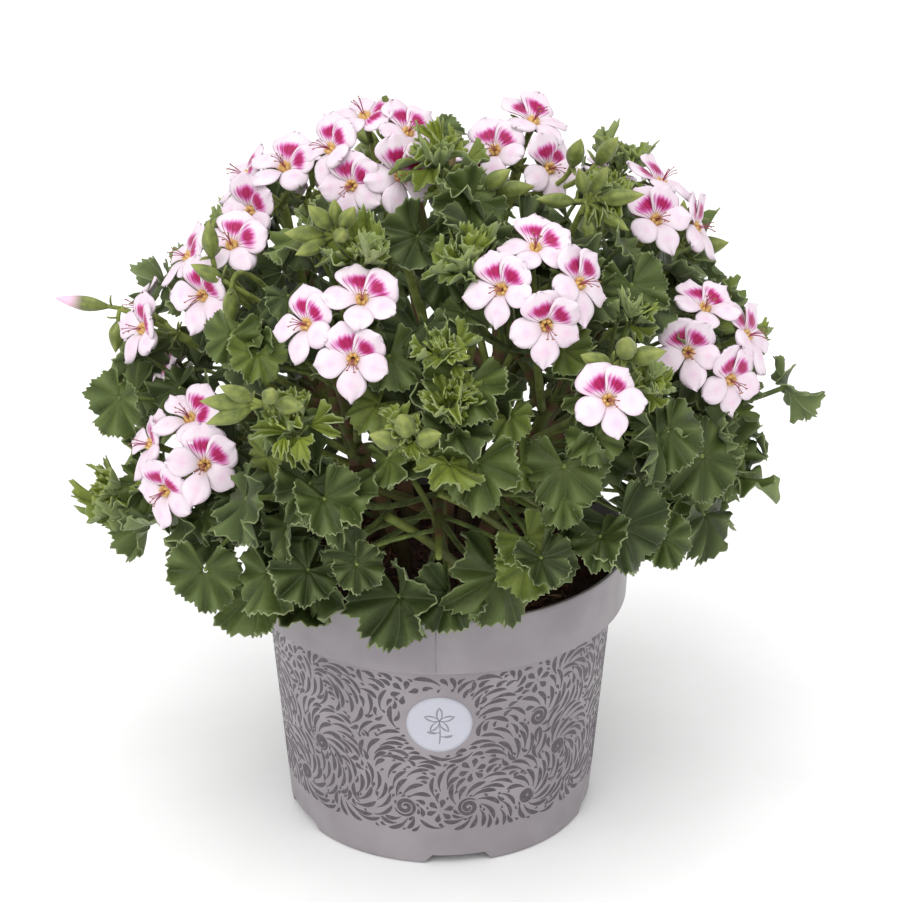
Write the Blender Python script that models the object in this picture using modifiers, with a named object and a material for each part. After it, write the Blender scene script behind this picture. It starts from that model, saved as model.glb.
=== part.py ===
# A potted geranium: a moulded nursery pot, the growing medium in it, and the plant as separate
# stems, leaves, flower heads and bud clusters. Metres, +Z up. The origin is the middle of the
# foot ring's underside, and the front of the plant looks along -Y.
# An azimuth is in degrees from the front, positive towards +X.
import math

import bmesh
import bpy
from mathutils import Matrix, Vector

GAP = 0.0003  # clearance between pieces that touch

# Pot
POT_HEIGHT = 0.099
RIM_RADIUS = 0.065  # outside of the collar at the rim
COLLAR_HEIGHT = 0.020  # smooth band below the rim
COLLAR_DRAFT = 0.0008  # how much the collar narrows downwards
SHOULDER = 0.0055  # step from the collar in to the body
FOOT_RADIUS = 0.0528
WALL = 0.0014
RIM_LIP = 0.0005  # rounding of the rim's edges
FLOOR_RAISE = 0.0045  # height of the floor's underside above the surface it stands on
FLOOR_THICKNESS = 0.0014
POT_STEPS = 40  # facets round the pot
NOTCH_COUNT = 5
NOTCH_WIDTH = 0.024
NOTCH_HEIGHT = 0.0035
NOTCH_SLOPE = 0.003  # how far each side of a notch leans
NOTCH_TURN = 7.0  # azimuth of the first notch
HOLE_COUNT = 6
HOLE_RADIUS = 0.004
HOLE_RING = 0.036
HOLE_TURN = 30.0

# Growing medium
SOIL_BELOW_RIM = 0.010
SOIL_CROWN = 0.0015  # how much higher it is in the middle

# Stems
STEM_RADIUS = 0.0028
STEM_TAPER = 0.7  # radius at the tip as a share of the base
STEM_RING = 0.017  # radius of the ring where they leave the growing medium
SOCKET_DEPTH = 0.018  # how deep a stem goes into the growing medium
STEM_RISE = 0.008  # straight stretch above the growing medium
STEM_POINTS = 6

# Leaves
PETIOLE_RADIUS = 0.0010
LEAF_THICKNESS = 0.0012
LEAF_SPREAD = 290.0  # angle that the blade takes up round its stalk
LEAF_LOBES = 5
LEAF_DOME = 0.30  # fall of the edge as a share of the blade's radius

# Flowers and buds
PEDUNCLE_RADIUS = 0.0013
PEDICEL_RADIUS = 0.0008
PEDICEL_LENGTH = 0.017
FLOWER_RADIUS = 0.0140
FLOWER_THICKNESS = 0.0010
FLOWER_TURN = 17.0  # each flower of a head is turned this much further than the last
FLOWER_CUP = -0.22  # rise of the petal tips as a share of the radius
BUD_LENGTH = 0.014
BUD_RADIUS = 0.0026
BUD_STALK_RADIUS = 0.0011

MM = 0.001
# Main stems: azimuth, reach of the tip from the axis and its height above the rim, in mm.
STEMS = [
    (0, 52, 52),
    (-44, 50, 66),
    (46, 52, 66),
    (-95, 48, 70),
    (92, 50, 70),
    (-145, 46, 66),
    (150, 48, 66),
    (20, 6, 96),
]
# Leaves: azimuth, reach and height above the rim of the middle of the blade, its width, the
# elevation of the side that faces out, and its turn about that direction.
LEAVES = [
    (-9, 79, 12, 31, 22, 8),
    (13, 80, 20, 33, 30, -18),
    (-45, 85, 5, 30, 20, 14),
    (-28, 84, 24, 26, 25, -10),
    (-18, 98, 56, 28, 38, 10),
    (-36, 104, 50, 28, 30, -12),
    (36, 99, 38, 31, 28, 12),
    (57, 102, 52, 27, 30, 18),
    (62, 98, 26, 28, 20, -15),
    (44, 104, 70, 24, 40, 0),
    (84, 117, 58, 24, 30, 10),
    (-88, 100, 4, 27, 5, 0),
    (-73, 110, 62, 23, 35, 10),
    (-60, 98, 28, 28, 18, 0),
    (5, 95, 93, 26, 35, -10),
    (2, 107, 73, 20, 44, 6),
    (22, 103, 66, 26, 32, -8),
    (-10, 14, 146, 20, 60, 20),
    (-42, 66, 124, 23, 50, 15),
    (48, 82, 110, 24, 45, -15),
    (105, 98, 20, 30, 15, 10),
    (115, 100, 62, 28, 30, -10),
    (140, 90, 22, 30, 15, 0),
    (160, 111, 58, 28, 30, 12),
    (-170, 90, 20, 30, 15, -8),
    (-165, 107, 66, 27, 32, 0),
    (-130, 92, 18, 30, 15, 12),
    (-131, 102, 68, 27, 30, -10),
]
# Flower heads: azimuth, reach and height above the rim of the middle of the open flowers, how
# many there are, and the azimuth and elevation that the head faces.
HEADS = [
    (-38, 36, 150, 5, -12, 48),
    (66, 31, 145, 3, 20, 52),
    (-92, 60, 127, 3, -60, 45),
    (-66, 82, 112, 3, -50, 40),
    (-87, 99, 82, 2, -84, 28),
    (-55, 104, 58, 4, -40, 30),
    (-19, 92, 112, 3, -14, 35),
    (21, 88, 124, 4, 12, 38),
    (28, 108, 91, 1, 12, 32),
    (84, 77, 122, 3, 60, 45),
    (65, 100, 89, 4, 35, 35),
    (-140, 80, 112, 4, -145, 45),
    (176, 84, 104, 4, 175, 45),
    (128, 86, 106, 4, 125, 40),
    (-108, 104, 44, 3, -108, 25),
]
# Bud clusters: azimuth, reach and height above the rim, how many buds, elevation of the cluster.
BUDS = [
    (50, 60, 134, 6, 60),
    (-26, 70, 132, 6, 50),
    (-30, 105, 88, 5, 40),
    (122, 97, 84, 5, 30),
    (-97, 108, 78, 2, 12),
    (-164, 63, 117, 6, 35),
]


def clear_scene():
    for obj in list(bpy.data.objects):
        bpy.data.objects.remove(obj, do_unlink=True)


def make_collection(name):
    collection = bpy.data.collections.new(name)
    bpy.context.scene.collection.children.link(collection)
    return collection


def make_material(name, colour, roughness):
    material = bpy.data.materials.new(name)
    material.use_nodes = True
    shader = material.node_tree.nodes["Principled BSDF"]
    shader.inputs["Base Color"].default_value = (*colour, 1.0)
    shader.inputs["Roughness"].default_value = roughness
    shader.inputs["Metallic"].default_value = 0.0
    return material


def new_object(name, mesh, collection, material=None):
    obj = bpy.data.objects.new(name, mesh)
    collection.objects.link(obj)
    if material:
        obj.data.materials.clear()
        obj.data.materials.append(material)
    return obj


def polar(azimuth, reach, height):
    angle = math.radians(azimuth)
    return Vector((reach * math.sin(angle), -reach * math.cos(angle), height))


def direction(azimuth, elevation):
    rise = math.radians(elevation)
    return polar(azimuth, math.cos(rise), math.sin(rise))


def facing_matrix(origin, normal, tip, turn=0.0):
    # Local +Z becomes the normal, and +Y the tip's direction turned about it.
    side = tip.cross(normal).normalized()
    tip = normal.cross(side).normalized()
    axes = Matrix((side, tip, normal)).transposed().to_4x4()
    return Matrix.Translation(origin) @ axes @ Matrix.Rotation(math.radians(turn), 4, "Z")


def evaluated_mesh(obj):
    bpy.context.view_layer.update()
    graph = bpy.context.evaluated_depsgraph_get()
    return bpy.data.meshes.new_from_object(obj.evaluated_get(graph))


# --- general shapes ---


def tube(points, radii, sides_level=0):
    # A round stalk through the points, as a closed mesh object.
    curve = bpy.data.curves.new("tube", "CURVE")
    curve.dimensions = "3D"
    curve.bevel_depth = 1.0
    curve.bevel_resolution = sides_level
    curve.use_fill_caps = True
    spline = curve.splines.new("POLY")
    spline.points.add(len(points) - 1)
    for spot, point, radius in zip(spline.points, points, radii):
        spot.co = (*point, 1.0)
        spot.radius = radius
    obj = new_object("tube", curve, HELPERS)
    mesh = evaluated_mesh(obj)
    bpy.data.objects.remove(obj, do_unlink=True)
    weld = bmesh.new()
    weld.from_mesh(mesh)
    bmesh.ops.remove_doubles(weld, verts=weld.verts, dist=0.00001)
    bmesh.ops.recalc_face_normals(weld, faces=weld.faces)
    weld.to_mesh(mesh)
    weld.free()
    return new_object("tube", mesh, HELPERS)


def bend(start, middle, end, count):
    # Points of a smooth bend from start to end, drawn towards the middle point.
    steps = [i / (count - 1) for i in range(count)]
    return [(1 - t) ** 2 * start + 2 * t * (1 - t) * middle + t**2 * end for t in steps]


def fan_sheet(spread, segments, rings, outline, fall, thickness):
    # A thin sheet that fans out round the origin and falls away, or rises, towards its edge.
    sheet = bmesh.new()
    bmesh.ops.create_grid(sheet, x_segments=segments, y_segments=rings, size=1.0)
    for vert in sheet.verts:
        angle = vert.co.x * math.radians(spread) / 2
        share = (vert.co.y + 1) / 2
        reach = share * outline(angle)
        vert.co = (reach * math.sin(angle), reach * math.cos(angle), -fall * reach * share)
    bmesh.ops.remove_doubles(sheet, verts=sheet.verts, dist=0.00001)
    bmesh.ops.recalc_face_normals(sheet, faces=sheet.faces)
    mesh = bpy.data.meshes.new("sheet")
    sheet.to_mesh(mesh)
    sheet.free()
    obj = new_object("sheet", mesh, HELPERS)
    solid = obj.modifiers.new("Thickness", "SOLIDIFY")
    solid.thickness = thickness
    solid.offset = 0.0
    return obj


def joined(name, pieces, material):
    # One solid from pieces that run into each other. The exact solver drops the thin petals
    # of some flower heads, so this uses the manifold one.
    first = pieces[0]
    for piece in pieces[1:]:
        union = first.modifiers.new("Join", "BOOLEAN")
        union.operation = "UNION"
        union.solver = "MANIFOLD"
        union.object = piece
    mesh = evaluated_mesh(first)
    place = first.matrix_world.copy()
    for piece in pieces:
        bpy.data.objects.remove(piece, do_unlink=True)
    mesh.name = name
    mesh.shade_smooth()
    mesh.set_sharp_from_angle(angle=math.radians(40))
    whole = new_object(name, mesh, PLANT, material)
    whole.matrix_world = place
    return whole


# --- pot and growing medium ---


def body_radius(height):
    # Outer radius of the tapering body at a height.
    top = RIM_RADIUS - SHOULDER
    return FOOT_RADIUS + (top - FOOT_RADIUS) * height / (POT_HEIGHT - COLLAR_HEIGHT)


def turned(name, profile, collection, material=None):
    mesh = bpy.data.meshes.new(name)
    line = bmesh.new()
    verts = [line.verts.new((radius, 0.0, height)) for radius, height in profile]
    for a, b in zip(verts, verts[1:]):
        line.edges.new((a, b))
    line.to_mesh(mesh)
    line.free()
    obj = new_object(name, mesh, collection, material)
    screw = obj.modifiers.new("Turn", "SCREW")
    screw.steps = POT_STEPS
    screw.render_steps = POT_STEPS
    screw.use_merge_vertices = True
    screw.merge_threshold = 0.00005
    screw.use_smooth_shade = True
    return obj


def notch_cutter(azimuth):
    # A wedge through the foot ring, narrower at its top.
    low = NOTCH_WIDTH / 2 + NOTCH_SLOPE
    high = NOTCH_WIDTH / 2 - NOTCH_SLOPE
    block = bmesh.new()
    bmesh.ops.create_cube(block, size=2.0)
    for vert in block.verts:
        width = high if vert.co.z > 0 else low
        height = NOTCH_HEIGHT if vert.co.z > 0 else -NOTCH_HEIGHT
        vert.co = (vert.co.x * width, vert.co.y * WALL * 4 - FOOT_RADIUS, height)
    mesh = bpy.data.meshes.new("notch_cutter")
    block.to_mesh(mesh)
    block.free()
    cutter = new_object("notch_cutter", mesh, CUTTERS)
    cutter.rotation_euler.z = math.radians(azimuth)
    return cutter


def hole_cutter(azimuth):
    drill = bmesh.new()
    bmesh.ops.create_cone(
        drill,
        cap_ends=True,
        segments=12,
        radius1=HOLE_RADIUS,
        radius2=HOLE_RADIUS,
        depth=FLOOR_THICKNESS * 4,
    )
    mesh = bpy.data.meshes.new("hole_cutter")
    drill.to_mesh(mesh)
    drill.free()
    cutter = new_object("hole_cutter", mesh, CUTTERS)
    cutter.location = polar(azimuth, HOLE_RING, FLOOR_RAISE + FLOOR_THICKNESS / 2)
    return cutter


def socket_cutter(foot):
    # The place that a stem takes up in the growing medium.
    drill = bmesh.new()
    bmesh.ops.create_cone(
        drill,
        cap_ends=True,
        segments=8,
        radius1=STEM_RADIUS + 2 * GAP,
        radius2=STEM_RADIUS + 2 * GAP,
        depth=2 * SOCKET_DEPTH,
    )
    mesh = bpy.data.meshes.new("socket_cutter")
    drill.to_mesh(mesh)
    drill.free()
    cutter = new_object("socket_cutter", mesh, CUTTERS)
    cutter.location = foot
    return cutter


def cut(obj, cutters):
    for cutter in cutters:
        cutter.hide_render = True
        cutter.display_type = "WIRE"
        step = obj.modifiers.new("Cut", "BOOLEAN")
        step.operation = "DIFFERENCE"
        step.object = cutter


def make_pot(material):
    shoulder_height = POT_HEIGHT - COLLAR_HEIGHT
    inner_floor = FLOOR_RAISE + FLOOR_THICKNESS
    collar_low = RIM_RADIUS - COLLAR_DRAFT
    profile = [
        (0.0, inner_floor),
        (body_radius(inner_floor) - WALL, inner_floor),
        (body_radius(shoulder_height) - WALL, shoulder_height + WALL),
        (collar_low - WALL, shoulder_height + WALL),
        (RIM_RADIUS - WALL, POT_HEIGHT - RIM_LIP),
        (RIM_RADIUS - WALL + RIM_LIP, POT_HEIGHT),
        (RIM_RADIUS - RIM_LIP, POT_HEIGHT),
        (RIM_RADIUS, POT_HEIGHT - RIM_LIP),
        (collar_low, shoulder_height),
        (body_radius(shoulder_height), shoulder_height),
        (body_radius(WALL), WALL),
        (FOOT_RADIUS - RIM_LIP, 0.0),
        (FOOT_RADIUS - WALL - RIM_LIP, 0.0),
        (body_radius(FLOOR_RAISE) - WALL, FLOOR_RAISE),
        (0.0, FLOOR_RAISE),
    ]
    pot = turned("pot", profile, PLANT, material)
    notches = [notch_cutter(NOTCH_TURN + i * 360 / NOTCH_COUNT) for i in range(NOTCH_COUNT)]
    holes = [hole_cutter(HOLE_TURN + i * 360 / HOLE_COUNT) for i in range(HOLE_COUNT)]
    cut(pot, notches + holes)
    return pot


def make_growing_medium(material):
    shoulder_height = POT_HEIGHT - COLLAR_HEIGHT
    low = FLOOR_RAISE + FLOOR_THICKNESS + GAP
    step = shoulder_height + WALL + GAP
    top = POT_HEIGHT - SOIL_BELOW_RIM
    clear = WALL + GAP
    collar_inside = RIM_RADIUS - COLLAR_DRAFT - clear
    profile = [
        (0.0, top + SOIL_CROWN),
        (collar_inside / 2, top + SOIL_CROWN * 0.7),
        (collar_inside, top),
        (collar_inside, step),
        (body_radius(shoulder_height) - clear, step),
        (body_radius(low) - clear, low),
        (0.0, low),
    ]
    medium = turned("growing_medium", profile, PLANT, material)
    cut(medium, [socket_cutter(stem_foot(row)) for row in STEMS])
    return medium


# --- stems ---


def stem_foot(row):
    # Where a stem leaves the growing medium.
    azimuth, reach, _ = row
    ring = min(STEM_RING, reach * MM)
    return polar(azimuth, ring, POT_HEIGHT - SOIL_BELOW_RIM)


def stem_line(row):
    # Points of a stem from just above the growing medium to its tip.
    azimuth, reach, height = row
    start = stem_foot(row) + Vector((0.0, 0.0, STEM_RISE))
    tip = polar(azimuth, reach * MM, POT_HEIGHT + height * MM)
    middle = (start + tip) / 2 + Vector((0.0, 0.0, 0.12 * reach * MM))
    return bend(start, middle, tip, STEM_POINTS)


def make_stem(index, row, material):
    foot = stem_foot(row)
    down = Vector((0.0, 0.0, SOCKET_DEPTH - GAP))
    points = [foot - down, foot] + stem_line(row)
    last = len(points) - 1
    radii = [STEM_RADIUS * (1 - (1 - STEM_TAPER) * i / last) for i in range(last + 1)]
    stem = tube(points, radii, sides_level=2)
    return joined(f"stem_{index + 1}", [stem], material)


def on_line(line, share):
    # Point and direction at a share of the way along a line of points.
    place = share * (len(line) - 1)
    index = min(int(place), len(line) - 2)
    point = line[index].lerp(line[index + 1], place - index)
    return point, (line[index + 1] - line[index]).normalized()


def nearest_stem(target):
    tips = [stem_line(row)[-1] for row in STEMS]
    return min(range(len(STEMS)), key=lambda i: (tips[i] - target).length)


def attachments(targets):
    # A place on a stem for each target: a lower one sits further down its stem.
    owners = [nearest_stem(target) for target in targets]
    starts = [None] * len(targets)
    for stem, row in enumerate(STEMS):
        line = stem_line(row)
        own = [i for i, owner in enumerate(owners) if owner == stem]
        own.sort(key=lambda i: targets[i].z)
        for rank, i in enumerate(own):
            share = 0.18 + 0.80 * (rank + 0.5) / len(own)
            point, along = on_line(line, share)
            aim = targets[i] - point
            side = (aim - along * aim.dot(along)).normalized()
            starts[i] = point + side * (STEM_RADIUS + 4 * GAP)
    return starts


# --- leaves ---


def leaf_outline(width):
    def outline(angle):
        # Shallow lobes, the middle one longest.
        lobe = 0.5 + 0.5 * math.cos(angle * LEAF_LOBES * 360 / LEAF_SPREAD)
        front = 0.5 + 0.5 * math.cos(angle)
        return width / 2 * (0.84 + 0.14 * lobe + 0.12 * front)

    return outline


def leaf_place(row):
    azimuth, reach, height, width, elevation, turn = row
    middle = polar(azimuth, reach * MM, POT_HEIGHT + height * MM)
    normal = direction(azimuth, elevation)
    tip = direction(azimuth, elevation - 90)
    place = facing_matrix(middle, normal, tip, turn)
    return place @ Matrix.Translation((0.0, -0.12 * width * MM, 0.0))


def make_leaf(index, row, start, material):
    width = row[3] * MM
    place = leaf_place(row)
    blade = fan_sheet(LEAF_SPREAD, 2 * LEAF_LOBES, 2, leaf_outline(width), LEAF_DOME, LEAF_THICKNESS)
    blade.matrix_world = place
    end = place.translation
    back = -place.col[2].to_3d()
    middle = end + back * (end - start).length * 0.35 + Vector((0.0, 0.0, 0.004))
    points = bend(start, middle, end, 5)
    petiole = tube(points, [PETIOLE_RADIUS] * len(points))
    return joined(f"leaf_{index + 1}", [blade, petiole], material)


# --- flower heads and buds ---


def flower_outline(angle):
    return FLOWER_RADIUS * (0.72 + 0.28 * abs(math.cos(2.5 * angle)))


def flower_directions(row):
    # Directions in which the flowers of a head stand out from its hub.
    azimuth, reach, height, count, facing, elevation = row
    forward = direction(facing, elevation)
    frame = facing_matrix(Vector(), forward, Vector((0.0, 0.0, 1.0))).to_3x3()
    if count == 1:
        return [forward]
    spread = {2: 34, 3: 42, 4: 50, 5: 56}[count]
    found = []
    for i in range(count):
        tilt = math.radians(spread)
        turn = math.radians(90 + 360 * i / count)
        aim = Vector((math.sin(tilt) * math.cos(turn), math.sin(tilt) * math.sin(turn), math.cos(tilt)))
        found.append(frame @ aim)
    return found


def head_hub(row):
    azimuth, reach, height, count, facing, elevation = row
    middle = polar(azimuth, reach * MM, POT_HEIGHT + height * MM)
    return middle - direction(facing, elevation) * PEDICEL_LENGTH * 0.8


def make_head(index, row, start, material):
    hub = head_hub(row)
    middle = start.lerp(hub, 0.6) - direction(row[4], row[5]) * 0.006
    points = bend(start, middle, hub, 5)
    pieces = [tube(points, [PEDUNCLE_RADIUS] * len(points))]
    for i, aim in enumerate(flower_directions(row)):
        centre = hub + aim * PEDICEL_LENGTH
        root = hub - aim * PEDUNCLE_RADIUS * 0.5
        pieces.append(tube([root, centre], [PEDICEL_RADIUS, PEDICEL_RADIUS]))
        flower = fan_sheet(360, 10, 1, flower_outline, FLOWER_CUP, FLOWER_THICKNESS)
        upward = direction(row[4], row[5] + 70)
        flower.matrix_world = facing_matrix(centre, aim, upward, FLOWER_TURN * (i + 1))
        pieces.append(flower)
    return joined(f"flower_head_{index + 1}", pieces, material)


def make_bud(root, aim):
    drop = bmesh.new()
    bmesh.ops.create_uvsphere(drop, u_segments=5, v_segments=4, radius=1.0)
    for vert in drop.verts:
        share = (vert.co.z + 1) / 2
        narrow = 1.15 - 0.75 * share
        spot = (vert.co.x * BUD_RADIUS * narrow, vert.co.y * BUD_RADIUS * narrow)
        vert.co = (*spot, share * BUD_LENGTH)
    mesh = bpy.data.meshes.new("bud")
    drop.to_mesh(mesh)
    drop.free()
    bud = new_object("bud", mesh, HELPERS)
    bud.matrix_world = facing_matrix(root, aim, aim.orthogonal())
    return bud


def make_bud_cluster(index, row, start, material):
    azimuth, reach, height, count, elevation = row
    hub = polar(azimuth, reach * MM, POT_HEIGHT + height * MM)
    forward = direction(azimuth, elevation)
    frame = facing_matrix(Vector(), forward, Vector((0.0, 0.0, 1.0))).to_3x3()
    points = bend(start, start.lerp(hub, 0.6) - forward * 0.006, hub, 4)
    pieces = [tube(points, [BUD_STALK_RADIUS] * len(points))]
    for i in range(count):
        tilt = math.radians(8 if i == 0 else 52)
        turn = math.radians(90 + 360 * i / (count - 1))
        aim = Vector((math.sin(tilt) * math.cos(turn), math.sin(tilt) * math.sin(turn), math.cos(tilt)))
        pieces.append(make_bud(hub - frame @ aim * BUD_RADIUS * 0.4, frame @ aim))
    return joined(f"bud_cluster_{index + 1}", pieces, material)


def make_plant():
    stem_green = make_material("stem", (0.16, 0.17, 0.06), 0.55)
    leaf_green = make_material("leaf", (0.075, 0.13, 0.045), 0.5)
    petal = make_material("petal", (0.86, 0.68, 0.78), 0.5)
    bud_green = make_material("bud", (0.28, 0.33, 0.09), 0.55)
    for index, row in enumerate(STEMS):
        make_stem(index, row, stem_green)
    leaf_ends = [leaf_place(row).translation for row in LEAVES]
    head_ends = [head_hub(row) for row in HEADS]
    bud_ends = [polar(row[0], row[1] * MM, POT_HEIGHT + row[2] * MM) for row in BUDS]
    starts = attachments(leaf_ends + head_ends + bud_ends)
    for index, row in enumerate(LEAVES):
        make_leaf(index, row, starts[index], leaf_green)
    for index, row in enumerate(HEADS):
        make_head(index, row, starts[len(LEAVES) + index], petal)
    for index, row in enumerate(BUDS):
        make_bud_cluster(index, row, starts[len(LEAVES) + len(HEADS) + index], bud_green)


clear_scene()
PLANT = make_collection("potted_geranium")
CUTTERS = make_collection("cutters")
HELPERS = make_collection("helpers")
make_pot(make_material("pot", (0.31, 0.28, 0.29), 0.45))
make_growing_medium(make_material("growing_medium", (0.035, 0.018, 0.013), 0.95))
make_plant()
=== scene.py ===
import math

import bmesh
import bpy
import numpy as np
from mathutils import Matrix, Vector


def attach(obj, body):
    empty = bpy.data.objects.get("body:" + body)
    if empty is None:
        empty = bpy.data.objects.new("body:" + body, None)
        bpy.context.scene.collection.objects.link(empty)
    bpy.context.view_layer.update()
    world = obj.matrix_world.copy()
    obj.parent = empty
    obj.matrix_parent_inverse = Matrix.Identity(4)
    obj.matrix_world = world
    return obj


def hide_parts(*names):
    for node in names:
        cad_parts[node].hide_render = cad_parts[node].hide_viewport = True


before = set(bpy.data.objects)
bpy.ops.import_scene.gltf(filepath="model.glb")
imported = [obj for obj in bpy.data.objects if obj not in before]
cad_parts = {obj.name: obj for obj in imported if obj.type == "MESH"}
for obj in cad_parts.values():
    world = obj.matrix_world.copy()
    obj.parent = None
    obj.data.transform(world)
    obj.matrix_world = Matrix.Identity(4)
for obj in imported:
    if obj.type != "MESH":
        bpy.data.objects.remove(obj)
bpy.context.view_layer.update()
mm = 0.001


# small tools that every piece below uses


def linear(hexColour):  # sRGB hex to linear
    parts = [int(hexColour[i : i + 2], 16) / 255 for i in (1, 3, 5)]
    return tuple(c / 12.92 if c <= 0.04045 else ((c + 0.055) / 1.055) ** 2.4 for c in parts) + (1.0,)


def addNode(tree, kind, settings=None, links=None):
    made = tree.nodes.new(kind)
    for key, value in (settings or {}).items():
        if key == "ramp":  # pairs of place and colour
            bands = made.color_ramp.elements
            while len(bands) < len(value):
                bands.new(0.5)
            for band, (place, colour) in zip(bands, value):
                band.position = place
                band.color = colour
        elif isinstance(key, str) and hasattr(made, key):
            setattr(made, key, value)
        else:
            made.inputs[key].default_value = value
    for key, socket in (links or {}).items():
        tree.links.new(socket, made.inputs[key])
    return made


def startMaterial(name, surface):  # surface holds what is the same all over, on the shader's own sockets
    material = bpy.data.materials.new(name)
    material.use_nodes = True
    tree = material.node_tree
    tree.nodes.clear()
    shader = addNode(tree, "ShaderNodeBsdfPrincipled", surface)
    addNode(tree, "ShaderNodeOutputMaterial", {}, {"Surface": shader.outputs[0]})
    return material, tree, shader


def calc(tree, operation, *terms, clamp=False):  # one sum; each term is a number or a socket
    settings = {"operation": operation, "use_clamp": clamp}
    links = {}
    for index, term in enumerate(terms):
        if isinstance(term, (int, float)):
            settings[index] = term
        else:
            links[index] = term
    return addNode(tree, "ShaderNodeMath", settings, links).outputs[0]


def fade(tree, value, start, end, low=0.0, high=1.0):  # smooth step from low to high
    settings = {"interpolation_type": "SMOOTHSTEP", 1: start, 2: end, 3: low, 4: high}
    return addNode(tree, "ShaderNodeMapRange", settings, {0: value}).outputs[0]


def blendColour(tree, share, first, second, way="MIX"):
    settings = {"data_type": "RGBA", "blend_type": way}
    links = {}
    for index, term in ((0, share), (6, first), (7, second)):
        if isinstance(term, (int, float, tuple)):
            settings[index] = term
        else:
            links[index] = term
    return addNode(tree, "ShaderNodeMix", settings, links).outputs[2]


def noiseAt(tree, place, size, detail=2.0, roughness=0.5):  # size is the grain in metres
    settings = {"Scale": 1 / size, "Detail": detail, "Roughness": roughness}
    return addNode(tree, "ShaderNodeTexNoise", settings, {"Vector": place}).outputs["Fac"]


def raised(tree, height, distance, strength=1.0, over=None):  # distance in metres
    links = {"Height": height}
    if over is not None:
        links["Normal"] = over
    return addNode(tree, "ShaderNodeBump", {"Strength": strength, "Distance": distance}, links).outputs[0]


def readChart(tree):  # the three shares and the luck that a mesh carries at its points
    chart = addNode(tree, "ShaderNodeAttribute", {"attribute_name": "chart"})
    parts = addNode(tree, "ShaderNodeSeparateXYZ", {}, {0: chart.outputs["Vector"]})
    luck = addNode(tree, "ShaderNodeAttribute", {"attribute_name": "luck"})
    return parts.outputs[0], parts.outputs[1], parts.outputs[2], luck.outputs["Fac"]


def objectPlace(tree):
    return addNode(tree, "ShaderNodeTexCoord").outputs["Object"]


def shape(points, faces, slots=0, chart=(0, 0, 0), luck=0.0):
    points = np.asarray(points, float).reshape(-1, 3)
    faces = np.asarray(faces, int).reshape(-1, 4)  # a triangle's last corner is -1
    chart = np.asarray(chart, float)
    return {
        "points": points,
        "faces": faces,
        "slots": np.broadcast_to(slots, len(faces)).astype(int),
        "chart": np.broadcast_to(chart, (len(points), 3)),
        "luck": np.full(len(points), luck),
    }


def gathered(shapes):
    starts = np.cumsum([0] + [len(s["points"]) for s in shapes[:-1]])
    moved = [np.where(s["faces"] < 0, -1, s["faces"] + start) for s, start in zip(shapes, starts)]
    whole = {key: np.concatenate([s[key] for s in shapes]) for key in ("points", "slots", "chart", "luck")}
    whole["faces"] = np.concatenate(moved)
    return whole


def placed(made, matrix):
    turn = np.array(matrix)
    return {**made, "points": made["points"] @ turn[:3, :3].T + turn[:3, 3]}


def inSlot(made, slot):
    return {**made, "slots": np.full(len(made["faces"]), slot)}


def buildPiece(name, made, materials, replaced=(), sharpAngle=None):
    mesh = bpy.data.meshes.new(name)
    faces = [tuple(f[:3]) if f[3] < 0 else tuple(f) for f in made["faces"].tolist()]
    mesh.from_pydata(made["points"].tolist(), [], faces)
    chart = mesh.attributes.new("chart", "FLOAT_VECTOR", "POINT")
    chart.data.foreach_set("vector", made["chart"].astype(np.float32).ravel())
    luck = mesh.attributes.new("luck", "FLOAT", "POINT")
    luck.data.foreach_set("value", made["luck"].astype(np.float32))
    for material in materials:
        mesh.materials.append(material)
    mesh.polygons.foreach_set("material_index", made["slots"].astype(np.int32))
    mesh.polygons.foreach_set("use_smooth", np.ones(len(faces), bool))
    mesh.update()
    if sharpAngle:
        mesh.set_sharp_from_angle(angle=math.radians(sharpAngle))
    piece = bpy.data.objects.new(name, mesh)
    bpy.context.scene.collection.objects.link(piece)
    return keepPiece(piece, replaced)


def keepPiece(piece, replaced=()):
    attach(piece, "root")
    if replaced:
        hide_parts(*replaced)
    return piece


def gridFaces(rows, columns, closedRound=False):
    r, c = np.meshgrid(np.arange(rows - 1), np.arange(columns if closedRound else columns - 1), indexing="ij")
    n = (c + 1) % columns
    corners = [r * columns + c, r * columns + n, (r + 1) * columns + n, (r + 1) * columns + c]
    return np.stack(corners, -1).reshape(-1, 4)


def thickened(sheet, thickness, chart, luck=0.0):  # closed sheet from a grid of points; its first side is up
    rows, columns = sheet.shape[:2]
    normal = np.cross(np.gradient(sheet, axis=1), np.gradient(sheet, axis=0))
    normal /= np.linalg.norm(normal, axis=2, keepdims=True) + 1e-12
    half = np.broadcast_to(np.asarray(thickness) / 2, (rows, columns))[..., None] * normal
    points = np.concatenate([(sheet + half).reshape(-1, 3), (sheet - half).reshape(-1, 3)])
    top = gridFaces(rows, columns)
    index = np.arange(rows * columns).reshape(rows, columns)
    loop = np.concatenate([index[0, :-1], index[:-1, -1], index[-1, :0:-1], index[:0:-1, 0]])
    onward = np.roll(loop, -1)
    under = rows * columns
    rim = np.stack([loop + under, onward + under, onward, loop], 1)
    faces = np.concatenate([top, top[:, ::-1] + under, rim])
    slots = np.concatenate([np.zeros(len(top)), np.ones(len(top)), np.zeros(len(rim))])
    flat = np.asarray(chart, float).reshape(-1, 3)
    return shape(points, faces, slots, np.concatenate([flat, flat]), luck)


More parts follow.
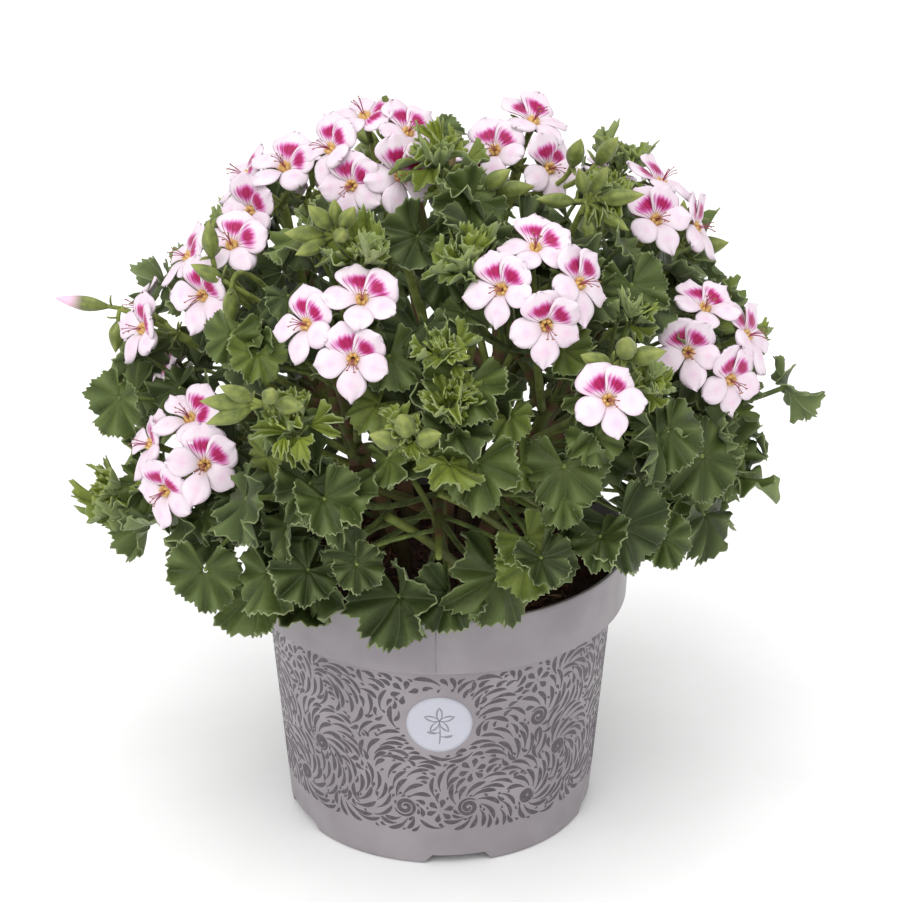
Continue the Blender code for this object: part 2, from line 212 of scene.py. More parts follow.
def tubeAlong(path, radii, sides, chart=(0, 0, 0), luck=0.0, phase=0.0):  # closed round stalk
    path = np.asarray(path, float)
    radii = np.broadcast_to(np.asarray(radii, float), len(path))
    ahead = np.gradient(path, axis=0)
    ahead /= np.linalg.norm(ahead, axis=1, keepdims=True) + 1e-12
    side = np.cross(ahead[0], (0.0, 0.0, 1.0))
    if np.linalg.norm(side) < 1e-3:
        side = np.array((1.0, 0.0, 0.0))
    rings = []
    angles = np.arange(sides) * 2 * math.pi / sides + phase
    for place, along, radius in zip(path, ahead, radii):
        side = side - along * (side @ along)
        side /= np.linalg.norm(side)
        other = np.cross(along, side)
        rings.append(place + radius * (np.cos(angles)[:, None] * side + np.sin(angles)[:, None] * other))
    points = np.concatenate(rings + [path[:1], path[-1:]])
    faces = gridFaces(len(path), sides, closedRound=True)
    turn = np.arange(sides)
    after = (turn + 1) % sides
    last = (len(path) - 1) * sides
    low = np.stack([after, turn, np.full(sides, len(points) - 2), np.full(sides, -1)], 1)
    high = np.stack([last + turn, last + after, np.full(sides, len(points) - 1), np.full(sides, -1)], 1)
    if np.ndim(chart) == 2:
        chart = np.concatenate([np.repeat(chart, sides, 0), chart[:1], chart[-1:]])
    return shape(points, np.concatenate([faces, low, high]), 0, chart, luck)


def turnedShape(profile, steps):  # closed turned body; the profile runs so that its left side is outside
    points = []
    rings = []
    for radius, height in profile:
        rings.append(len(points))
        if radius < 1e-7:
            points.append((0, 0, height))
        else:
            angles = np.arange(steps) * 2 * math.pi / steps
            points += [(radius * math.sin(a), -radius * math.cos(a), height) for a in angles]
    faces = []
    for (r0, _), (r1, _), a, b in zip(profile, profile[1:], rings, rings[1:]):
        for i in range(steps):
            j = (i + 1) % steps
            if r0 < 1e-7:
                faces.append((a, b + j, b + i, -1))
            elif r1 < 1e-7:
                faces.append((a + i, a + j, b, -1))
            else:
                faces.append((a + i, a + j, b + j, b + i))
    return shape(points, faces)


def bend(start, middle, end, count):  # points of a quadratic curve
    shares = [i / (count - 1) for i in range(count)]
    return [start * (1 - s) ** 2 + middle * (2 * s * (1 - s)) + end * s**2 for s in shares]


def polar(azimuth, reach, height):  # azimuth is degrees from the front, + towards +X
    a = math.radians(azimuth)
    return Vector((reach * math.sin(a), -reach * math.cos(a), height))


def direction(azimuth, elevation):
    rise = math.radians(elevation)
    return polar(azimuth, math.cos(rise), math.sin(rise))


def facing(origin, normal, tip, turn=0.0):  # local +Z along normal, local +Y towards tip
    side = tip.cross(normal).normalized()
    tip = normal.cross(side).normalized()
    axes = Matrix((side, tip, normal)).transposed().to_4x4()
    return Matrix.Translation(origin) @ axes @ Matrix.Rotation(math.radians(turn), 4, "Z")


# camera, light and floor

view = {
    "eye": (0.0035, -0.900, 0.538),
    "pitch": 65.63,  # degrees from straight down
    "lens": 116.5,  # mm on a 36 mm sensor
    "floorColour": "#fcfcfc",
    "skyStrength": 0.56,
    "keyStrength": 1.62,
    "topStrength": 1.15,
    "fillStrength": 0.14,
}


def makeStudio():
    scene = bpy.context.scene
    camera = bpy.data.objects.new("camera", bpy.data.cameras.new("camera"))
    camera.location = view["eye"]
    camera.rotation_euler = (math.radians(view["pitch"]), 0, 0)
    camera.data.lens = view["lens"]
    camera.data.sensor_width = 36
    camera.data.clip_start = 0.05
    scene.collection.objects.link(camera)
    scene.camera = camera
    scene.view_settings.view_transform = "Standard"
    world = bpy.data.worlds.new("studioWorld")
    world.use_nodes = True
    world.node_tree.nodes["Background"].inputs[0].default_value = (1, 1, 1, 1)
    world.node_tree.nodes["Background"].inputs[1].default_value = view["skyStrength"]
    scene.world = world
    lamps = [  # name, direction that it comes from, softness in degrees, strength
        ("keyLamp", (-0.50, -0.85, 1.10), 72, view["keyStrength"]),
        ("topLamp", (0.10, -0.10, 1.0), 80, view["topStrength"]),
        ("fillLamp", (0.9, -0.7, 0.5), 80, view["fillStrength"]),
    ]
    for name, source, softness, strength in lamps:
        lamp = bpy.data.lights.new(name, "SUN")
        lamp.angle = math.radians(softness)
        lamp.energy = strength
        holder = bpy.data.objects.new(name, lamp)
        holder.rotation_euler = Vector(source).to_track_quat("Z", "Y").to_euler()
        scene.collection.objects.link(holder)


def paintedFloor():  # matt painted board: an even near white with a barely seen mottle
    material, tree, shader = startMaterial("mattPaintedBoard", {"Roughness": 0.9, "Specular IOR Level": 0.1})
    mottle = noiseAt(tree, objectPlace(tree), 0.04)
    tint = blendColour(tree, fade(tree, mottle, 0.3, 0.7), linear(view["floorColour"]), linear("#ffffff"))
    tree.links.new(tint, shader.inputs["Base Color"])
    return material


def makeFloor():
    mesh = bpy.data.meshes.new("floor")
    size = 6.0
    corners = [(-size, -size, 0), (size, -size, 0), (size, size, 0), (-size, size, 0)]
    mesh.from_pydata(corners, [], [(0, 1, 2, 3)])
    mesh.materials.append(paintedFloor())
    floor = bpy.data.objects.new("floor", mesh)
    floor.location.z = -0.0002
    bpy.context.scene.collection.objects.link(floor)


makeStudio()
makeFloor()
print("studio ready")


# pot: thin injection-moulded shell with a collar, a foot with notches and holes in its raised floor

pot = {
    "height": 99 * mm,
    "rimRadius": 65 * mm,
    "collarHeight": 20 * mm,
    "collarDraft": 0.8 * mm,
    "shoulder": 5.5 * mm,
    "footRadius": 52.8 * mm,
    "wall": 1.4 * mm,
    "lip": 0.5 * mm,
    "floorRaise": 4.5 * mm,
    "floorThickness": 1.4 * mm,
    "steps": 192,
    "notches": 5,
    "notchWidth": 24 * mm,
    "notchHeight": 3.5 * mm,
    "notchSlope": 3 * mm,
    "notchTurn": 7,
    "holes": 6,
    "holeRadius": 4 * mm,
    "holeRing": 36 * mm,
    "holeTurn": 30,
    "colour": "#989296",
    "shadeColour": "#8b858a",
}


def bodyRadius(height):
    top = pot["rimRadius"] - pot["shoulder"]
    return pot["footRadius"] + (top - pot["footRadius"]) * height / (pot["height"] - pot["collarHeight"])


def mouldedPolypropylene():  # injection-moulded polypropylene: soft satin sheen over a fine eroded grain
    material, tree, shader = startMaterial(
        "injectionMouldedPolypropylene", {"Roughness": 0.42, "IOR": 1.49, "Specular IOR Level": 0.4}
    )
    place = objectPlace(tree)
    cloud = noiseAt(tree, place, 22 * mm, 3)
    grain = noiseAt(tree, place, 0.5 * mm, 2)  # 0.1 mm in the real mould, drawn coarse enough to show
    tint = blendColour(tree, fade(tree, cloud, 0.3, 0.7), linear(pot["colour"]), linear(pot["shadeColour"]))
    speck = blendColour(tree, fade(tree, grain, 0.55, 0.8, 0, 0.25), tint, linear("#a39da0"))
    tree.links.new(speck, shader.inputs["Base Color"])
    wide = noiseAt(tree, place, 9 * mm, 1)
    low = raised(tree, wide, 0.10 * mm, 0.5)
    tree.links.new(raised(tree, grain, 0.03 * mm, 0.35, low), shader.inputs["Normal"])
    tree.links.new(fade(tree, cloud, 0.2, 0.8, 0.38, 0.5), shader.inputs["Roughness"])
    return material


def cutterBox(azimuth):  # a wedge through the foot ring, narrower at its top
    low = pot["notchWidth"] / 2 + pot["notchSlope"]
    high = pot["notchWidth"] / 2 - pot["notchSlope"]
    block = bmesh.new()
    bmesh.ops.create_cube(block, size=2.0)
    for vert in block.verts:
        width = high if vert.co.z > 0 else low
        rise = pot["notchHeight"] if vert.co.z > 0 else -pot["notchHeight"]
        vert.co = (vert.co.x * width, vert.co.y * pot["wall"] * 4 - pot["footRadius"], rise)
    return cutter(block, Matrix.Rotation(math.radians(azimuth), 4, "Z"))


def cutterHole(azimuth):
    drill = bmesh.new()
    deep = pot["floorThickness"] * 4
    bmesh.ops.create_cone(
        drill, cap_ends=True, segments=24, radius1=pot["holeRadius"], radius2=pot["holeRadius"], depth=deep
    )
    place = polar(azimuth, pot["holeRing"], pot["floorRaise"] + pot["floorThickness"] / 2)
    return cutter(drill, Matrix.Translation(place))


def cutter(block, matrix):
    mesh = bpy.data.meshes.new("cutter")
    block.to_mesh(mesh)
    block.free()
    made = bpy.data.objects.new("cutter", mesh)
    made.matrix_world = matrix
    bpy.context.scene.collection.objects.link(made)
    return made


def makePot():
    shoulderHeight = pot["height"] - pot["collarHeight"]
    innerFloor = pot["floorRaise"] + pot["floorThickness"]
    collarLow = pot["rimRadius"] - pot["collarDraft"]
    wall, lip, top, rim = pot["wall"], pot["lip"], pot["height"], pot["rimRadius"]
    groove = 0.35 * mm  # the parting line just under the collar
    profile = [
        (0.0, pot["floorRaise"]),
        (bodyRadius(pot["floorRaise"]) - wall, pot["floorRaise"]),
        (pot["footRadius"] - wall - lip, 0.0),
        (pot["footRadius"] - lip, 0.0),
        (bodyRadius(wall) - 0.15 * mm, wall * 0.4),
        (bodyRadius(wall), wall),
        (bodyRadius(shoulderHeight - 2.2 * mm), shoulderHeight - 2.2 * mm),
        (bodyRadius(shoulderHeight - 1.9 * mm) - groove, shoulderHeight - 1.8 * mm),
        (bodyRadius(shoulderHeight - 1.5 * mm), shoulderHeight - 1.4 * mm),
        (bodyRadius(shoulderHeight) - 0.05 * mm, shoulderHeight - 0.3 * mm),
        (bodyRadius(shoulderHeight) + 0.3 * mm, shoulderHeight),
        (collarLow - 1.1 * mm, shoulderHeight),
        (collarLow - 0.3 * mm, shoulderHeight + 0.3 * mm),
        (collarLow, shoulderHeight + 1.1 * mm),
        (rim - 0.02 * mm, top - lip - 1.0 * mm),
        (rim, top - lip),
        (rim - lip * 0.3, top - lip * 0.3),
        (rim - lip, top),
        (rim - wall + lip, top),
        (rim - wall + lip * 0.3, top - lip * 0.3),
        (rim - wall, top - lip),
        (collarLow - wall, shoulderHeight + wall),
        (bodyRadius(shoulderHeight) - wall, shoulderHeight + wall),
        (bodyRadius(innerFloor) - wall, innerFloor),
        (0.0, innerFloor),
    ]
    shell = buildPiece("pot_shell", turnedShape(profile, pot["steps"]), [mouldedPolypropylene()])
    tools = [cutterBox(pot["notchTurn"] + i * 360 / pot["notches"]) for i in range(pot["notches"])]
    tools += [cutterHole(pot["holeTurn"] + i * 360 / pot["holes"]) for i in range(pot["holes"])]
    for tool in tools:
        step = shell.modifiers.new("Cut", "BOOLEAN")
        step.operation = "DIFFERENCE"
        step.object = tool
    graph = bpy.context.evaluated_depsgraph_get()
    finished = bpy.data.meshes.new_from_object(shell.evaluated_get(graph))
    shell.modifiers.clear()
    shell.data = finished
    finished.set_sharp_from_angle(angle=math.radians(40))
    for tool in tools:
        bpy.data.objects.remove(tool)
    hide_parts("pot")


def makeSeams():  # where the two halves of the mould met: a faint ridge down the collar
    ridges = []
    for azimuth in (-1, 179):
        foot = pot["height"] - pot["collarHeight"] + 1.2 * mm
        low = polar(azimuth, pot["rimRadius"] - pot["collarDraft"], foot)
        high = polar(azimuth, pot["rimRadius"] - 0.1 * mm, pot["height"] - 2 * mm)
        ridges.append(tubeAlong([tuple(low), tuple(low.lerp(high, 0.5)), tuple(high)], 0.22 * mm, 6))
    buildPiece("pot_seams", gathered(ridges), [bpy.data.materials["injectionMouldedPolypropylene"]])


makePot()
makeSeams()
print("pot turned")


# print on the pot: scrolls, fans of feathers, blooms and drops, laid flat on the cone and kept apart

scrollwork = {
    "low": 13.0,  # mm above the table
    "high": 76.0,
    "repeats": 8,
    "gap": 0.27,  # mm of bare plastic kept between strokes
    "lift": 0.05 * mm,
    "colour": "#4a434a",
    "seed": 11,
}

badge = {"height": 57.0, "radius": 10.8, "lift": 0.16 * mm, "colour": "#bebfca", "line": "#83818b"}


class PrintMap:  # strokes in mm on the opened-out cone, with a map of what is taken
    def __init__(self):
        self.cell = 0.25
        self.wide = 2 * math.pi * bodyRadius(44 * mm) / mm
        rows = int((scrollwork["high"] - scrollwork["low"]) / self.cell)
        self.taken = np.zeros((rows, int(self.wide / self.cell)), bool)
        self.strokes = []

    def spots(self, line, halves, extra):
        found = []
        for (x, y), half in zip(line, halves):
            reach = half + extra
            steps = np.arange(-reach, reach + self.cell, self.cell)
            dx, dy = np.meshgrid(steps, steps)
            inside = dx**2 + dy**2 <= reach**2
            found.append(np.stack([x + dx[inside], y + dy[inside]], 1))
        spots = np.concatenate(found)
        column = np.floor(spots[:, 0] / self.cell).astype(int) % self.taken.shape[1]
        row = np.floor((spots[:, 1] - scrollwork["low"]) / self.cell).astype(int)
        return row, column

    def block(self, x, y, radius):
        row, column = self.spots([(x, y)], [radius], 0)
        keep = (row >= 0) & (row < self.taken.shape[0])
        self.taken[row[keep], column[keep]] = True

    def fits(self, line, halves):
        row, column = self.spots(line, halves, scrollwork["gap"])
        if row.min() < 0 or row.max() >= self.taken.shape[0]:
            return False
        return not self.taken[row, column].any()

    def add(self, line, halves):
        if not self.fits(line, halves):
            return False
        row, column = self.spots(line, halves, 0)
        self.taken[row, column] = True
        self.strokes.append((np.asarray(line), np.asarray(halves)))
        return True


def feather(x, y, heading, length, width, curl):  # a drop, thin at its foot, that bends as it goes
    shares = np.linspace(0, 1, 11)
    turn = np.radians(heading) + np.radians(curl) * shares
    step = length / 10
    xs = x + np.concatenate([[0], np.cumsum(np.cos(turn[:-1]) * step)])
    ys = y + np.concatenate([[0], np.cumsum(np.sin(turn[:-1]) * step)])
    halves = width / 2 * (0.16 + 0.84 * np.sin(np.pi * shares**1.7) ** 0.8)
    halves[-1] = width * 0.12
    return np.stack([xs, ys], 1), halves


def scroll(x, y, radius, turns, start, hand):  # a spiral that thickens outwards and ends in a tail
    shares = np.linspace(0, 1, 34)
    turn = math.radians(start) + hand * shares * turns * 2 * math.pi
    far = radius * (0.14 + 0.86 * shares)
    halves = 0.30 + 0.50 * np.sin(np.pi * np.minimum(shares * 1.05, 1)) ** 0.7
    halves[-1] = 0.15
    return np.stack([x + far * np.cos(turn), y + far * np.sin(turn)], 1), halves


def laidOnCone(line, halves, lift):  # a flat stroke wrapped on the pot as a thin closed strip
    ahead = np.gradient(line, axis=0)
    ahead /= np.linalg.norm(ahead, axis=1, keepdims=True) + 1e-9
    side = np.stack([-ahead[:, 1], ahead[:, 0]], 1)
    edges = [line + side * halves[:, None], line - side * halves[:, None]]
    rings = []
    for edge, height in ((edges[0], lift), (edges[1], lift), (edges[1], -0.2 * mm), (edges[0], -0.2 * mm)):
        rings.append(onCone(edge, height))
    points = np.stack(rings, 1)  # points along the stroke, four round it
    count = len(line)
    body = gridFaces(count, 4, closedRound=True)
    last = (count - 1) * 4
    caps = [(3, 2, 1, 0), (last, last + 1, last + 2, last + 3)]
    return shape(points, np.concatenate([body[:, ::-1], np.array(caps)[:, ::-1]]))


def onCone(flat, lift):
    around = 2 * math.pi * bodyRadius(44 * mm) / mm
    angle = flat[:, 0] / around * 2 * math.pi
    high = flat[:, 1] * mm
    far = bodyRadius(high) + lift
    return np.stack([far * np.sin(angle), -far * np.cos(angle), high], 1)


def addLongest(field, x, y, heading, lengths, width, curl):  # the longest feather that still fits
    for length in lengths:
        if field.add(*feather(x, y, heading, length, width, curl)):
            return


def drawScrollwork():
    field = PrintMap()
    rng = np.random.default_rng(scrollwork["seed"])
    field.block(0, badge["height"], badge["radius"] + 1.2)
    tile = field.wide / scrollwork["repeats"]
    swirls = []
    for number in range(scrollwork["repeats"]):
        middle = (number + 0.5) * tile
        for x, y in ((-11, 38), (11, 69), (-22, 22)):
            for k in range(6):  # bloom of six short petals round a dot
                aim = 60 * k + 15
                fx = middle + x + 1.4 * math.cos(math.radians(aim))
                fy = y + 1.4 * math.sin(math.radians(aim))
                field.add(*feather(fx, fy, aim, 3.4, 2.1, 12))
            field.add([(middle + x, y), (middle + x + 0.05, y)], [0.55, 0.55])
        places = [(-11, 23), (11, 22), (0, 37), (22, 39), (-11, 54), (11, 55), (0, 69), (22, 68)]
        for k, (x, y) in enumerate(places):
            cx, cy = middle + x + rng.uniform(-1.6, 1.6), y + rng.uniform(-1.4, 1.4)
            hand = 1 if (k + k // 2 + number) % 2 else -1
            radius = rng.uniform(2.8, 4.3)
            turnAt = rng.uniform(0, 360)
            if field.add(*scroll(cx, cy, radius, 1.9, turnAt, hand)):
                swirls.append((cx, cy, hand))
            for ring, count, width in ((0.8, 12, 1.7), (4.6, 17, 1.5), (8.2, 23, 1.4)):
                for spoke in np.arange(count) * 360 / count + turnAt + ring:  # feathers round the scroll
                    fx = cx + (radius + ring) * math.cos(math.radians(spoke))
                    fy = cy + (radius + ring) * math.sin(math.radians(spoke))
                    addLongest(field, fx, fy, spoke + hand * 34, (9, 7.5, 6, 4.8, 3.6), width, hand * 66)
    swirls = np.array(swirls)
    fills = (((8, 6.5, 5.2, 4.2), 1.65, 4500), ((4.2, 3.2, 2.4), 1.25, 5000), ((1.8, 1.3), 0.9, 4000))
    for lengths, width, tries in fills:
        for _ in range(tries):  # the rest fills with strokes that keep turning with the nearest scroll
            x = rng.uniform(0, field.wide)
            y = rng.uniform(scrollwork["low"], scrollwork["high"])
            dx = (x - swirls[:, 0] + field.wide / 2) % field.wide - field.wide / 2
            near = np.argmin(dx**2 + (y - swirls[:, 1]) ** 2)
            away = math.degrees(math.atan2(y - swirls[near, 1], dx[near]))
            hand = swirls[near, 2]
            addLongest(field, x, y, away + hand * 50, lengths, width, hand * 70)
    return field.strokes


def padPrintedInk():  # pad-printed ink: a dark film, slightly uneven, with less gloss than the plastic
    material, tree, shader = startMaterial("padPrintedInk", {"Roughness": 0.5, "IOR": 1.5})
    cover = noiseAt(tree, objectPlace(tree), 1.3 * mm, 3)
    uneven = fade(tree, cover, 0.35, 0.8, 0, 0.6)
    tint = blendColour(tree, uneven, linear(scrollwork["colour"]), linear("#6a6268"))
    tree.links.new(tint, shader.inputs["Base Color"])
    return material


def makePrint():
    strokes = [laidOnCone(line, halves, scrollwork["lift"]) for line, halves in drawScrollwork()]
    buildPiece("pot_scrollwork", gathered(strokes), [padPrintedInk()], sharpAngle=30)
    print("scrollwork strokes", len(strokes))


def badgeFilm(name, colour):  # screen-printed ink: flat and milky, with a trace of the screen's dots
    material, tree, shader = startMaterial(name, {"Roughness": 0.38, "IOR": 1.5})
    dots = noiseAt(tree, objectPlace(tree), 0.9 * mm, 1)
    tint = blendColour(tree, fade(tree, dots, 0.35, 0.75, 0, 0.3), linear(colour), linear("#b9b9c6"))
    tree.links.new(tint, shader.inputs["Base Color"])
    return material


def makeBadge():
    rings, columns = 8, 72
    angles = np.arange(columns) * 2 * math.pi / columns
    layers = []
    for ring in range(2 * rings + 2):  # out along the front, back along the hidden side
        share = min(ring, 2 * rings + 1 - ring) / rings
        far = badge["radius"] * max(share, 0.002)
        flat = np.stack([far * np.cos(angles), badge["height"] + far * np.sin(angles)], 1)
        layers.append(onCone(flat, badge["lift"] if ring <= rings else -0.2 * mm))
    disc = shape(np.concatenate(layers), gridFaces(len(layers), columns, closedRound=True))
    buildPiece("pot_badge", disc, [badgeFilm("screenPrintedDisc", badge["colour"])])
    lines = []
    for k in range(5):  # a plain five-petalled sprig
        aim = 90 + 72 * k
        for side in (-1, 1):
            lines.append(feather(0, badge["height"] + 1.5, aim + side * 34, 5.6, 0.55, -side * 78))
    lines.append(feather(0, badge["height"] + 0.5, -84, 8.2, 0.5, -14))
    lines.append(feather(0.2, badge["height"] - 4.5, -20, 4.2, 0.9, 50))
    lines.append(feather(0.1, badge["height"] - 3.0, 200, 4.2, 0.9, -50))
    lift = badge["lift"] + 0.05 * mm
    strokes = [laidOnCone(line, np.maximum(halves, 0.17), lift) for line, halves in lines]
    buildPiece("pot_badge_sprig", gathered(strokes), [badgeFilm("screenPrintedLine", badge["line"])])


makePrint()
makeBadge()
print("pot printed")


# growing medium: peat with bark and fibres, one plug that fills the pot

peat = {
    "belowRim": 10 * mm,
    "crown": 1.5 * mm,
    "gap": 0.3 * mm,
    "bumps": 1500,
    "chips": 150,
    "fibres": 190,
    "seed": 5,
}


def lumpHeight(x, y, rng):  # lumps of peat as overlapping domes
    height = np.zeros_like(x)
    for _ in range(peat["bumps"]):
        far = 62 * mm * math.sqrt(rng.uniform())
        turn = rng.uniform(0, 2 * math.pi)
        size = rng.uniform(1.2, 4.5) * mm
        near = ((x - far * math.cos(turn)) ** 2 + (y - far * math.sin(turn)) ** 2) / size**2
        height = np.maximum(height, np.where(near < 1, size * 0.55 * np.sqrt(np.maximum(0, 1 - near)), 0))
    return height


def makeGrowingMedium():
    rng = np.random.default_rng(peat["seed"])
    shoulder = pot["height"] - pot["collarHeight"]
    low = pot["floorRaise"] + pot["floorThickness"] + peat["gap"]
    clear = pot["wall"] + peat["gap"]
    top = pot["height"] - peat["belowRim"]
    outside = pot["rimRadius"] - pot["collarDraft"] - clear
    columns, rings = 150, 42
    angles = np.arange(columns) * 2 * math.pi / columns
    layers = []
    for far, high in (
        (bodyRadius(low) - clear, low),
        (bodyRadius(shoulder) - clear, shoulder + 1.4 * mm),
        (outside, shoulder + 1.4 * mm),
        (outside, top - 0.6 * mm),
    ):
        layers.append(np.stack([far * np.cos(angles), far * np.sin(angles), np.full(columns, high)], 1))
    far = outside * (1 - np.arange(rings)[:, None] / rings) * 0.995
    x, y = far * np.cos(angles), far * np.sin(angles)
    rise = (lumpHeight(x, y, rng) - 1.1 * mm) * np.minimum(1, np.arange(rings)[:, None] / 2 + 0.2)
    swell = peat["crown"] * (1 - (far / outside) ** 2)
    layers += list(np.stack([x, y, top + swell + rise], 2))
    points = np.concatenate(layers + [[(0, 0, low)], [(0, 0, top + peat["crown"])]])
    faces = gridFaces(len(layers), columns, closedRound=True)
    turn = np.arange(columns)
    after = np.roll(turn, -1)
    last = (len(layers) - 1) * columns
    floorFan = np.stack([after, turn, np.full(columns, len(points) - 2), np.full(columns, -1)], 1)
    topFan = np.stack([last + turn, last + after, np.full(columns, len(points) - 1), np.full(columns, -1)], 1)
    plug = shape(points, np.concatenate([faces, floorFan, topFan]))
    bits = [plug]
    for _ in range(peat["chips"]):  # bark chips, lying flat-ish
        far = 54 * mm * math.sqrt(rng.uniform())
        place = polar(rng.uniform(0, 360), far, top + rng.uniform(1.2, 2.6) * mm)
        length = rng.uniform(2.5, 7) * mm
        path = [place, place + direction(rng.uniform(0, 360), rng.uniform(-15, 20)) * length]
        wide = rng.uniform(0.5, 1.3) * mm
        chip = tubeAlong([path[0], path[0].lerp(path[1], 0.5), path[1]], [wide * 0.5, wide, wide * 0.4], 5)
        bits.append({**inSlot(chip, 1), "luck": np.full(len(chip["points"]), rng.uniform())})
    for _ in range(peat["fibres"]):  # coir and root threads
        far = 55 * mm * math.sqrt(rng.uniform())
        place = polar(rng.uniform(0, 360), far, top + rng.uniform(1.5, 3) * mm)
        end = place + direction(rng.uniform(0, 360), rng.uniform(-10, 15)) * rng.uniform(6, 16) * mm
        if math.hypot(end.x, end.y) > 59 * mm:  # it stays inside the pot
            end = place * 2 - end
        middle = place.lerp(end, 0.5) + direction(rng.uniform(0, 360), 20) * 4 * mm
        thread = tubeAlong(bend(place, middle, end, 7), 0.22 * mm, 4)
        bits.append({**inSlot(thread, 1), "luck": np.full(len(thread["points"]), rng.uniform())})
    materials = [milledPeat(), barkAndFibre()]
    buildPiece("growing_medium_surface", gathered(bits), materials, ["growing_medium"])


def milledPeat():  # milled peat: near-black brown crumbs with reddish fibre, dull and damp
    material, tree, shader = startMaterial("milledPeat", {"Roughness": 0.85, "Specular IOR Level": 0.25})
    place = objectPlace(tree)
    crumb = noiseAt(tree, place, 1.6 * mm, 4, 0.7)
    cloud = noiseAt(tree, place, 9 * mm, 2)
    tint = blendColour(tree, fade(tree, crumb, 0.42, 0.7), linear("#1f130f"), linear("#4c3026"))
    warm = blendColour(tree, fade(tree, cloud, 0.4, 0.7, 0, 0.5), tint, linear("#38201a"))
    tree.links.new(warm, shader.inputs["Base Color"])
    tree.links.new(raised(tree, crumb, 0.7 * mm, 0.9), shader.inputs["Normal"])
    return material


def barkAndFibre():  # shredded bark and coir: reddish brown strands, some bleached
    material, tree, shader = startMaterial("shreddedBark", {"Roughness": 0.8, "Specular IOR Level": 0.3})
    _, _, _, luck = readChart(tree)
    grain = noiseAt(tree, objectPlace(tree), 0.8 * mm, 3)
    bands = [(0.0, linear("#2c1813")), (0.55, linear("#5a3428"))]
    bands += [(0.85, linear("#7a5340")), (1.0, linear("#a58a6c"))]
    tint = addNode(tree, "ShaderNodeValToRGB", {"ramp": bands}, {0: luck}).outputs[0]
    dark = blendColour(tree, fade(tree, grain, 0.4, 0.7, 0, 0.5), tint, linear("#22120e"))
    tree.links.new(dark, shader.inputs["Base Color"])
    tree.links.new(raised(tree, grain, 0.2 * mm, 0.8), shader.inputs["Normal"])
    return material


makeGrowingMedium()
print("growing medium filled")


# where everything grows, in mm: azimuth from the front, reach from the middle and height above the rim

stemRows = [  # azimuth, reach of the tip, height of the tip
    (0, 52, 52),
    (-44, 50, 66),
    (46, 52, 66),
    (-95, 48, 70),
    (92, 50, 70),
    (-145, 46, 66),
    (150, 48, 66),
    (20, 6, 96),
]
leafRows = [  # azimuth, reach, height, width, elevation of the outward side, turn, youth
    (-9, 79, 12, 31, 22, 8, 0.12),
    (13, 80, 20, 33, 30, -18, 0.25),
    (-45, 85, 5, 30, 20, 14, 0.45),
    (-28, 84, 24, 26, 25, -10, 0.2),
    (-18, 98, 56, 28, 38, 10, 0.3),
    (-36, 104, 50, 28, 30, -12, 0.2),
    (36, 99, 38, 31, 28, 12, 0.08),
    (57, 102, 52, 27, 30, 18, 0.22),
    (62, 98, 26, 28, 20, -15, 0.12),
    (44, 104, 70, 24, 40, 0, 0.3),
    (84, 117, 58, 24, 30, 10, 0.3),
    (-88, 100, 4, 27, 5, 0, 0.4),
    (-73, 110, 62, 23, 35, 10, 0.4),
    (-60, 98, 28, 28, 18, 0, 0.3),
    (5, 95, 93, 26, 35, -10, 0.33),
    (2, 107, 73, 20, 44, 6, 0.75),
    (22, 103, 66, 26, 32, -8, 0.25),
    (-10, 14, 146, 20, 60, 20, 0.3),
    (-42, 66, 124, 23, 50, 15, 0.5),
    (48, 82, 110, 24, 45, -15, 0.3),
    (105, 98, 20, 30, 15, 10, 0.25),
    (115, 100, 62, 28, 30, -10, 0.35),
    (140, 90, 22, 30, 15, 0, 0.2),
    (160, 111, 58, 28, 30, 12, 0.35),
    (-170, 90, 20, 30, 15, -8, 0.25),
    (-165, 107, 66, 27, 32, 0, 0.4),
    (-130, 92, 18, 30, 15, 12, 0.2),
    (-131, 102, 68, 27, 30, -10, 0.35),
]
headRows = [  # azimuth, reach, height, flowers, azimuth and elevation that it faces
    (-38, 36, 150, 5, -12, 48),
    (66, 31, 145, 3, 20, 52),
    (-92, 60, 127, 3, -60, 45),
    (-66, 82, 112, 3, -50, 40),
    (-87, 99, 82, 2, -84, 28),
    (-55, 104, 58, 4, -40, 30),
    (-19, 92, 112, 3, -14, 35),
    (21, 88, 124, 4, 12, 38),
    (28, 108, 91, 1, 12, 32),
    (84, 77, 122, 3, 60, 45),
    (65, 100, 89, 4, 35, 35),
    (-140, 80, 112, 4, -145, 45),
    (176, 84, 104, 4, 175, 45),
    (128, 86, 106, 4, 125, 40),
    (-108, 104, 44, 3, -108, 25),
]
budRows = [  # azimuth, reach, height, buds, elevation of the cluster
    (50, 60, 134, 6, 60),
    (-26, 70, 132, 6, 50),
    (-30, 105, 88, 5, 40),
    (122, 97, 84, 5, 30),
    (-97, 108, 78, 2, 12),
    (-164, 63, 117, 6, 35),
]

stems = {
    "radius": 2.8 * mm,
    "taper": 0.7,
    "ring": 17 * mm,
    "socket": 18 * mm,
    "rise": 8 * mm,
    "petioleRadius": 1.0 * mm,
    "peduncleRadius": 1.3 * mm,
    "pedicelRadius": 0.8 * mm,
    "pedicelLength": 17 * mm,
    "gap": 0.3 * mm,
}


def stemFoot(row):
    return polar(row[0], min(stems["ring"], row[1] * mm), pot["height"] - peat["belowRim"])


def stemLine(row, count=6):
    start = stemFoot(row) + Vector((0, 0, stems["rise"]))
    tip = polar(row[0], row[1] * mm, pot["height"] + row[2] * mm)
    middle = (start + tip) / 2 + Vector((0, 0, 0.12 * row[1] * mm))
    return bend(start, middle, tip, count)


def nearestStem(target):
    tips = [polar(row[0], row[1] * mm, pot["height"] + row[2] * mm) for row in stemRows]
    return min(range(len(tips)), key=lambda i: (tips[i] - target).length)


